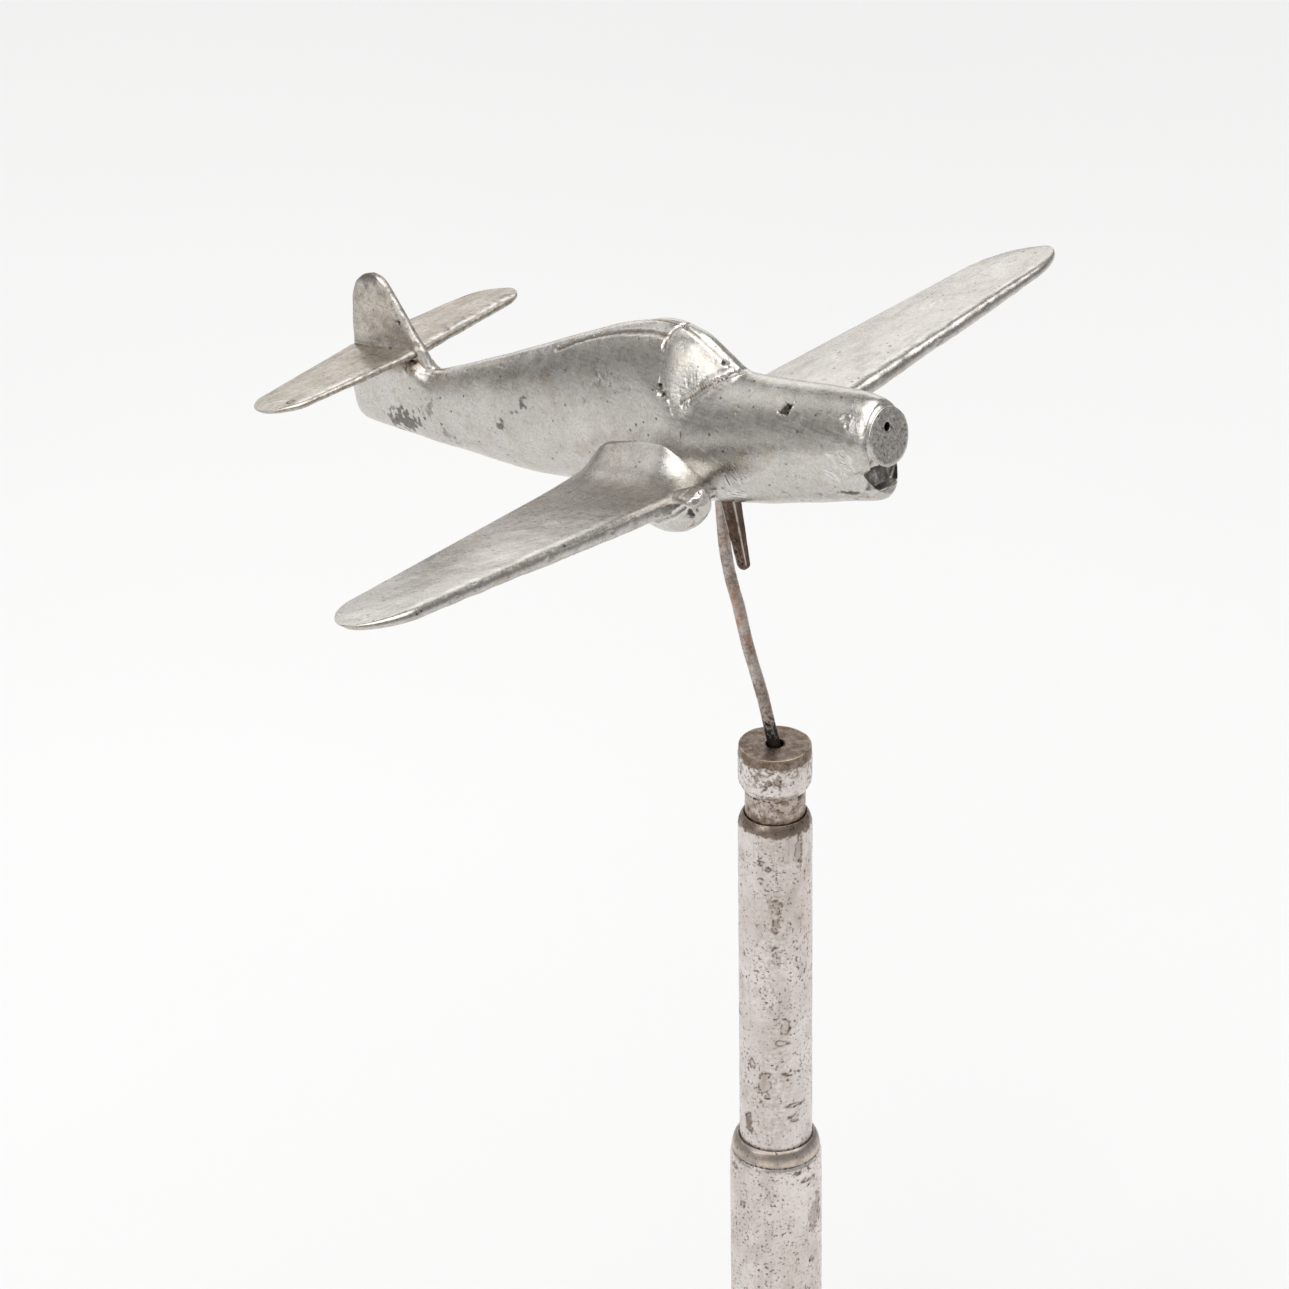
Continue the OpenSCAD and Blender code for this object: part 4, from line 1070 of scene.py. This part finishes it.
def flake(r, radius, degrees, z, wide, tall, seed, grey):
    """A patch where the plating has lifted: a brown outline round duller metal."""
    c = np.array(on_tube(radius, degrees, z))
    at = r.near(c[None], 1.9 * max(wide, tall))
    q = r.p[at]
    along = np.array([-math.sin(math.radians(degrees)), math.cos(math.radians(degrees)), 0])
    d = np.hypot((q - c) @ along / wide, (q[:, 2] - z) / tall) + 0.3 * field(q, 1.7, seed)
    facing = smooth(((q - c) @ (c * [1, 1, 0]) / radius + radius * 0.8) / (radius * 0.3))
    outline = bell((d - 1) / (0.21 / min(wide, tall))) * facing
    inside = smooth((1 - d) / 0.15) * facing
    r.h[at] -= 0.035 * inside
    r.paint_wear_and_light(outline * cloud(q, 1.1, seed + 1, 0.95), at, brown=1, dark=0.42)
    r.paint_wear_and_light(inside, at, brown=grey)


top_of = {n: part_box(n)[1].z / MM for n in ("head_knob", "inner_tube", "middle_tube", "lower_tube")}
foot_of = {n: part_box(n)[0].z / MM for n in top_of}
radius_of = {n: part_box(n)[1].x / MM for n in top_of}
HEAD_TOP = top_of["head_knob"]
HEAD_R, NECK_R = radius_of["head_knob"], radius_of["inner_tube"]
HEAD_FOOT = top_of["inner_tube"]
MIDDLE_R, LOWER_R = radius_of["middle_tube"], radius_of["lower_tube"]
MIDDLE_TOP, LOWER_TOP = top_of["middle_tube"], top_of["lower_tube"]
WALL = 0.9
SEAT_H = 8.0


def head_relief(r):
    p = r.p
    radius, _, z = polar(p)
    side = radius > HEAD_R - 1.2
    r.h += 0.02 * field(p, 5, 101) * side + 0.008 * field(p, 1.2, 102)
    top = smooth((z - HEAD_TOP + 0.25) / 0.15)
    ragged = 0.25 * field(p, 2.2, 103) + 0.18 * field(p, 0.7, 104)
    band = smooth((z - HEAD_TOP + 2.0 + ragged) / 0.25)
    r.paint_wear_and_light(np.maximum(band, top), brown=0.96)
    r.paint_wear_and_light(band * (1 - top) * cloud(p, 3, 105, 0.9), dark=0.3)
    r.paint_wear_and_light(side * cloud(p, 0.9, 108, 0.45) * cloud(p, 4, 109, 0.8), brown=0.75)
    # painted highlight on the top edge of the head
    rim = bell((radius - HEAD_R + 0.3) / 0.1) * smooth((z - HEAD_TOP + 0.3) / 0.1)
    r.paint_wear_and_light(rim * cloud(p, 4, 106, 0.8), bright=0.75)
    r.paint_wear_and_light(smooth((2.1 - radius) / 0.5) * smooth((z - HEAD_TOP + 6) / 1), dark=0.8)
    # painted highlight round the head's lower edge
    foot = bell((z - HEAD_FOOT - 0.25) / 0.22) * side
    r.paint_wear_and_light(foot * cloud(p, 3, 107, 0.8), bright=0.25)
    for k, (a, dz, w, t) in enumerate((
            (-45, 4.3, 0.5, 0.5), (-70, 5.3, 0.35, 0.3), (-38, 3.6, 0.6, 0.35), (-80, 4.6, 0.4, 0.4),
            (-58, 3.9, 0.3, 0.35))):
        flake(r, HEAD_R, a, HEAD_FOOT + dz, w, t, 111 + k, 0.7)


def neck_relief(r):
    p = r.p
    z = p[:, 2]
    seen = smooth((z - MIDDLE_TOP + 2) / 1)
    r.h += seen * (0.015 * field(p, 3, 121) - 0.012)
    turned = 0.012 * np.sin(z * TAU / 0.55) + 0.012 * np.sin(z * TAU / 0.83 + 1)
    r.h += seen * np.minimum(turned, 0)
    low = smooth((MIDDLE_TOP + 1.6 + 0.9 * field(p, 2.5, 122) - z) / 1.2)
    r.paint_wear_and_light(seen * cloud(p, 2.2, 123, 0.35, 0.9), brown=0.6)
    r.paint_wear_and_light(low, brown=0.9)
    r.paint_wear_and_light(bell((z - HEAD_FOOT + 0.35) / 0.3), dark=0.5)
    r.paint_wear_and_light(seen * cloud(p, 1.3, 124, -0.3), bright=0.3)


def middle_relief(r):
    p = r.p
    radius, angle, z = polar(p)
    outer = smooth((radius - MIDDLE_R + 0.35) / 0.2)
    r.h += outer * (0.02 * field(p, 9, 131) + 0.006 * field(p, 1.5, 132)) * smooth((z - LOWER_TOP - 1) / 1)
    lip = smooth((z - MIDDLE_TOP + 2.15 + 0.25 * field(p, 2, 133) + 0.2 * field(p, 0.7, 134)) / 0.25)
    r.paint_wear_and_light(lip, brown=0.88)
    r.paint_wear_and_light(lip * cloud(p, 2.2, 135, 0.3), dark=0.4)
    r.paint_wear_and_light(outer * cloud(p * [1, 1, 0.6], 5, 136, -0.1), brown=0.22)
    handled = bell((angle + 50) / 26) * outer
    r.paint_wear_and_light(handled * cloud(p, 1.1, 137, 0.55), brown=0.24)
    for k, (a, height, w, t, grey) in enumerate((
            (-10, 171.6, 0.7, 3.0, 0.45), (-46, 161.0, 0.6, 1.2, 0.5), (-48, 157.0, 0.55, 1.5, 0.55),
            (-50, 151.0, 0.4, 1.6, 0.3), (-34, 136.0, 0.8, 1.5, 0.3), (-40, 132.6, 0.9, 0.5, 0.15),
            (-66, 124.0, 1.1, 2.2, 0.38), (-97, 114.6, 0.8, 1.9, 0.8), (-88, 127.5, 0.5, 0.9, 0.05),
            (-17, 119.2, 1.2, 0.3, 0.1), (-19, 116.4, 0.9, 0.7, 0.12), (-128, 137, 0.5, 0.8, 0.3),
            (-60, 168.4, 0.5, 0.4, 0.6), (-72, 169.5, 0.6, 0.5, 0.5), (-25, 126.0, 1.4, 0.4, 0.05),
            (60, 160, 0.9, 2.2, 0.5), (120, 138, 0.8, 1.6, 0.3), (170, 125, 1.2, 2.0, 0.4),
            (95, 118, 0.7, 1.1, 0.6), (150, 165, 0.5, 1.8, 0.5))):
        flake(r, MIDDLE_R, a, height, w, t, 141 + k, grey)
    streak = bell((np.abs(angle + 48) - 4) / 12) * smooth((z - 145) / 4) * smooth((168 - z) / 5) * outer
    r.paint_wear_and_light(streak * cloud(p, 1.4, 161, -0.05), brown=0.6)
    foot = smooth((LOWER_TOP + 0.8 - z) / 0.8) * smooth((z - LOWER_TOP + 1) / 0.5)
    r.paint_wear_and_light(foot, dark=0.35)


def lower_relief(r):
    p = r.p
    radius, _, z = polar(p)
    outer = smooth((radius - LOWER_R + 0.35) / 0.2)
    r.h += outer * 0.02 * field(p, 10, 171) * smooth((z - 16) / 1)
    lip = smooth((z - LOWER_TOP + 3.15 + 0.06 * field(p, 2, 172)) / 0.12)
    r.paint_wear_and_light(lip, brown=0.6)
    # painted shade in the crease under the rolled lip
    crease = bell((z - LOWER_TOP + 3.1) / 0.16)
    r.paint_wear_and_light(crease, dark=0.7)
    # painted highlight on the rolled lip, over polished brass
    polish_and_highlight = bell((z - LOWER_TOP + 2.2) / 0.5) * cloud(p, 5, 173, 0.85, 0.8)
    r.paint_wear_and_light(polish_and_highlight * smooth((radius - 7.3) / 0.3), bright=0.5)
    r.paint_wear_and_light(outer * cloud(p * [1, 1, 0.6], 5, 175, -0.1), brown=0.16)
    for k, (a, height, w, t, grey) in enumerate((
            (9, 94.6, 1.6, 2.6, 0.5), (13, 97.2, 1.0, 1.8, 0.5), (0, 103.0, 0.9, 0.6, 0.3),
            (-8, 103.6, 0.7, 0.25, 0.1), (2, 85.6, 0.5, 0.5, 0.6), (-20, 105.6, 0.5, 0.3, 0.6),
            (-112, 105.0, 0.7, 0.3, 0.4), (-95, 98, 0.4, 0.5, 0.5), (-80, 70, 1.2, 2.2, 0.5),
            (-30, 55, 0.8, 1.8, 0.5), (40, 78, 1.0, 2.4, 0.4), (130, 90, 1.3, 1.6, 0.5),
            (170, 60, 0.9, 2.6, 0.5), (-140, 45, 1.1, 1.5, 0.5), (80, 35, 1.0, 1.4, 0.6))):
        flake(r, LOWER_R, a, height, w, t, 181 + k, grey)


FINE = [[MIDDLE_TOP - 3, 0.17], [-99, 4]]


def turned(name, profile, around, steps, body, slot, node, relief):
    shell(name, lathe(profile, around, steps), POST, body, slot, [node], relief, closed=True)


def bush_seat(foot, bore, r):
    """Corners of a tube's foot, with the seat that its split bush sits on."""
    seat = foot + 1
    top = seat + SEAT_H
    return [[bore, foot], [r, foot], [r, seat], [r - 0.45, seat], [r - 0.45, top], [r, top]]


def build_head_knob():
    top, foot, r, stem = HEAD_TOP, HEAD_FOOT, HEAD_R, NECK_R - WALL
    hole, deep = WIRE_R + 0.05, HEAD_TOP - PIN_DEEP - 0.5
    turned("head_knob_turned", [
        [0.01, foot - PIN_DEEP], [stem, foot - PIN_DEEP], [stem, foot], [NECK_R + 0.1, foot, 0.1],
        [r - 0.8, foot + 0.15, 0.12], [r, foot + 1.55, 0.4], [r, top - 2.1, 0.3], [r - 0.15, top, 0.16],
        [hole + 0.42, top, 0.12], [hole, top - 2.6], [hole, deep], [0.01, deep]],
        200, FINE, "inner_stage", "nickel_plate", "head_knob", head_relief)


def build_inner_tube():
    bore = NECK_R - WALL
    turned("inner_tube_drawn", bush_seat(foot_of["inner_tube"], bore, NECK_R)
           + [[NECK_R, HEAD_FOOT], [bore, HEAD_FOOT]],
           180, FINE, "inner_stage", "worn_brass", "inner_tube", neck_relief)


def build_middle_tube():
    top, r, bore, mouth = MIDDLE_TOP, MIDDLE_R, MIDDLE_R - WALL, NECK_R + 0.05
    turned("middle_tube_plated", bush_seat(foot_of["middle_tube"], bore, r) + [
        [r, LOWER_TOP - 4], [r, top - 2.1, 0.5], [r - 0.35, top - 0.9, 0.5], [mouth + 0.25, top, 0.15],
        [mouth, top - 0.25], [mouth, top - 2.3], [bore, top - 2.3 - (bore - mouth)]],
        184, [[top - 3.4, 0.16], [LOWER_TOP - 1, 0.25], [-99, 6]],
        "middle_stage", "nickel_plate", "middle_tube", middle_relief)


def build_lower_tube():
    top, foot, r = LOWER_TOP, foot_of["lower_tube"], LOWER_R
    bore, mouth = r - WALL, MIDDLE_R + 0.05
    turned("lower_tube_plated", [
        [bore, foot], [r, foot], [r, foot + 5], [r, top - 4.4, 0.3], [r - 0.12, top - 3.7, 0.2],
        [r - 0.42, top - 3.1, 0.08], [r - 0.3, top - 2.6, 0.25], [r - 0.55, top - 1.3, 0.6],
        [r - 0.95, top - 0.4, 0.35], [mouth + 0.3, top, 0.2], [mouth, top - 0.25], [mouth, top - 3.9],
        [bore, top - 3.9 - (bore - mouth)]],
        200, [[top - 4.6, 0.15], [15.5, 0.34], [-99, 6]],
        "stand", "nickel_plate", "lower_tube", lower_relief)


# ---------- everything ----------

def build_aeroplane():
    def piece(name, grid, slot, nodes, relief, sharp=50):
        return shell(name, grid, PLANE, "aeroplane", slot, nodes, relief, sharp=sharp)

    piece("fuselage_casting", fuselage_grid(), "cast_aluminium", ["fuselage"], fuselage_relief)
    piece("wing_casting", wing_grid(), "cast_aluminium", ["wing"], wing_relief, 70)
    piece("tailplane_plate", tail_grid(), "oxidised_aluminium", ["tailplane"], tail_relief, 70)
    piece("fin_plate", fin_grid(), "oxidised_aluminium", ["fin"], fin_relief, 70)
    for side, name in ((-1, "starboard"), (1, "port")):
        piece(f"{name}_fairing_casting", fairing_grid(side), "cast_aluminium", [f"{name}_gear_fairing"],
              fairing_relief(side), 60)
    piece("tang_forging", tang_grid(), "rusty_steel", ["mounting_tang"], tang_relief, 60)
    shell("wire_drawn", wire_grid(HEAD_TOP), POST, "aeroplane", "wire_steel", ["support_wire"],
          wire_relief(HEAD_TOP))


def finish_carried_nodes():
    for node in frame["nodes"].values():
        if not node.hide_render:
            slot = node.data.materials[0].name.split(".")[0]
            node.material_slots[0].material = MATERIALS[slot]


def soft_box(name, at, target, size, radiance, tint):
    light = bpy.data.lights.new(name, "AREA")
    light.shape = "RECTANGLE"
    light.size, light.size_y = size
    light.energy = radiance * math.pi * size[0] * size[1]
    light.color = tint
    lamp = bpy.data.objects.new(name, light)
    bpy.context.scene.collection.objects.link(lamp)
    lamp.location = at
    lamp.rotation_euler = (Vector(target) - Vector(at)).to_track_quat("-Z", "Y").to_euler()
    lamp.visible_camera = False


def build_stage():
    mesh = bpy.data.meshes.new("floor")
    half = 9.0
    corners = [(x * half, y * half, 0) for x, y in ((-1, -1), (1, -1), (1, 1), (-1, 1))]
    mesh.from_pydata(corners, [], [(0, 1, 2, 3)])
    s = Shader("pale_floor")
    mottle = s.span(s.noise(400, 2), 0.3, 0.7)
    s.finish(s.mix(mottle, rgb(0.81, 0.812, 0.82), rgb(0.83, 0.832, 0.84)), 0.9)
    mesh.materials.append(s.material)
    floor = bpy.data.objects.new("floor", mesh)
    bpy.context.scene.collection.objects.link(floor)
    world = bpy.data.worlds.new("studio")
    world.use_nodes = True
    background = world.node_tree.nodes["Background"]
    background.inputs[0].default_value = rgb(1.0, 0.99, 0.975)
    background.inputs[1].default_value = 0.34
    bpy.context.scene.world = world
    centre = (-0.03, 0, 0.24)
    soft_box("overhead", (0.25, -0.1, 1.9), centre, (2.6, 2.2), 2.2, (1, 0.995, 0.985))
    soft_box("back_fill", (-2.2, 2.0, 1.15), centre, (3.4, 1.7), 1.05, (1, 0.99, 0.975))
    soft_box("left_key", (-0.25, -1.95, 1.25), centre, (1.1, 1.15), 2.4, (1, 0.995, 0.985))
    soft_box("left_fill", (-1.95, -0.55, 1.35), centre, (1.5, 1.1), 0.75, (1, 0.99, 0.975))


AZIMUTH, ELEVATION, ROLL = (math.radians(v) for v in (42.5, 29.0, 0.87))
LENS, SENSOR = 156.4, 36.0
CAMERA_AT = (0.54833, -0.63131, 0.67332)


def build_camera():
    right = Vector((math.cos(AZIMUTH), math.sin(AZIMUTH), 0))
    back = Vector((math.sin(AZIMUTH) * math.cos(ELEVATION), -math.cos(AZIMUTH) * math.cos(ELEVATION),
                   math.sin(ELEVATION)))
    up = back.cross(right)
    turned = right * math.cos(ROLL) - up * math.sin(ROLL), right * math.sin(ROLL) + up * math.cos(ROLL), back
    camera = bpy.data.objects.new("camera", bpy.data.cameras.new("camera"))
    bpy.context.scene.collection.objects.link(camera)
    camera.data.lens, camera.data.sensor_width = LENS, SENSOR
    camera.data.clip_start, camera.data.clip_end = 0.05, 40
    camera.matrix_world = Matrix.Translation(CAMERA_AT) @ Matrix(turned).transposed().to_4x4()
    bpy.context.scene.camera = camera
    bpy.context.scene.view_settings.view_transform = "Standard"


build_aeroplane()
build_head_knob()
build_inner_tube()
build_middle_tube()
build_lower_tube()
finish_carried_nodes()
build_stage()
build_camera()
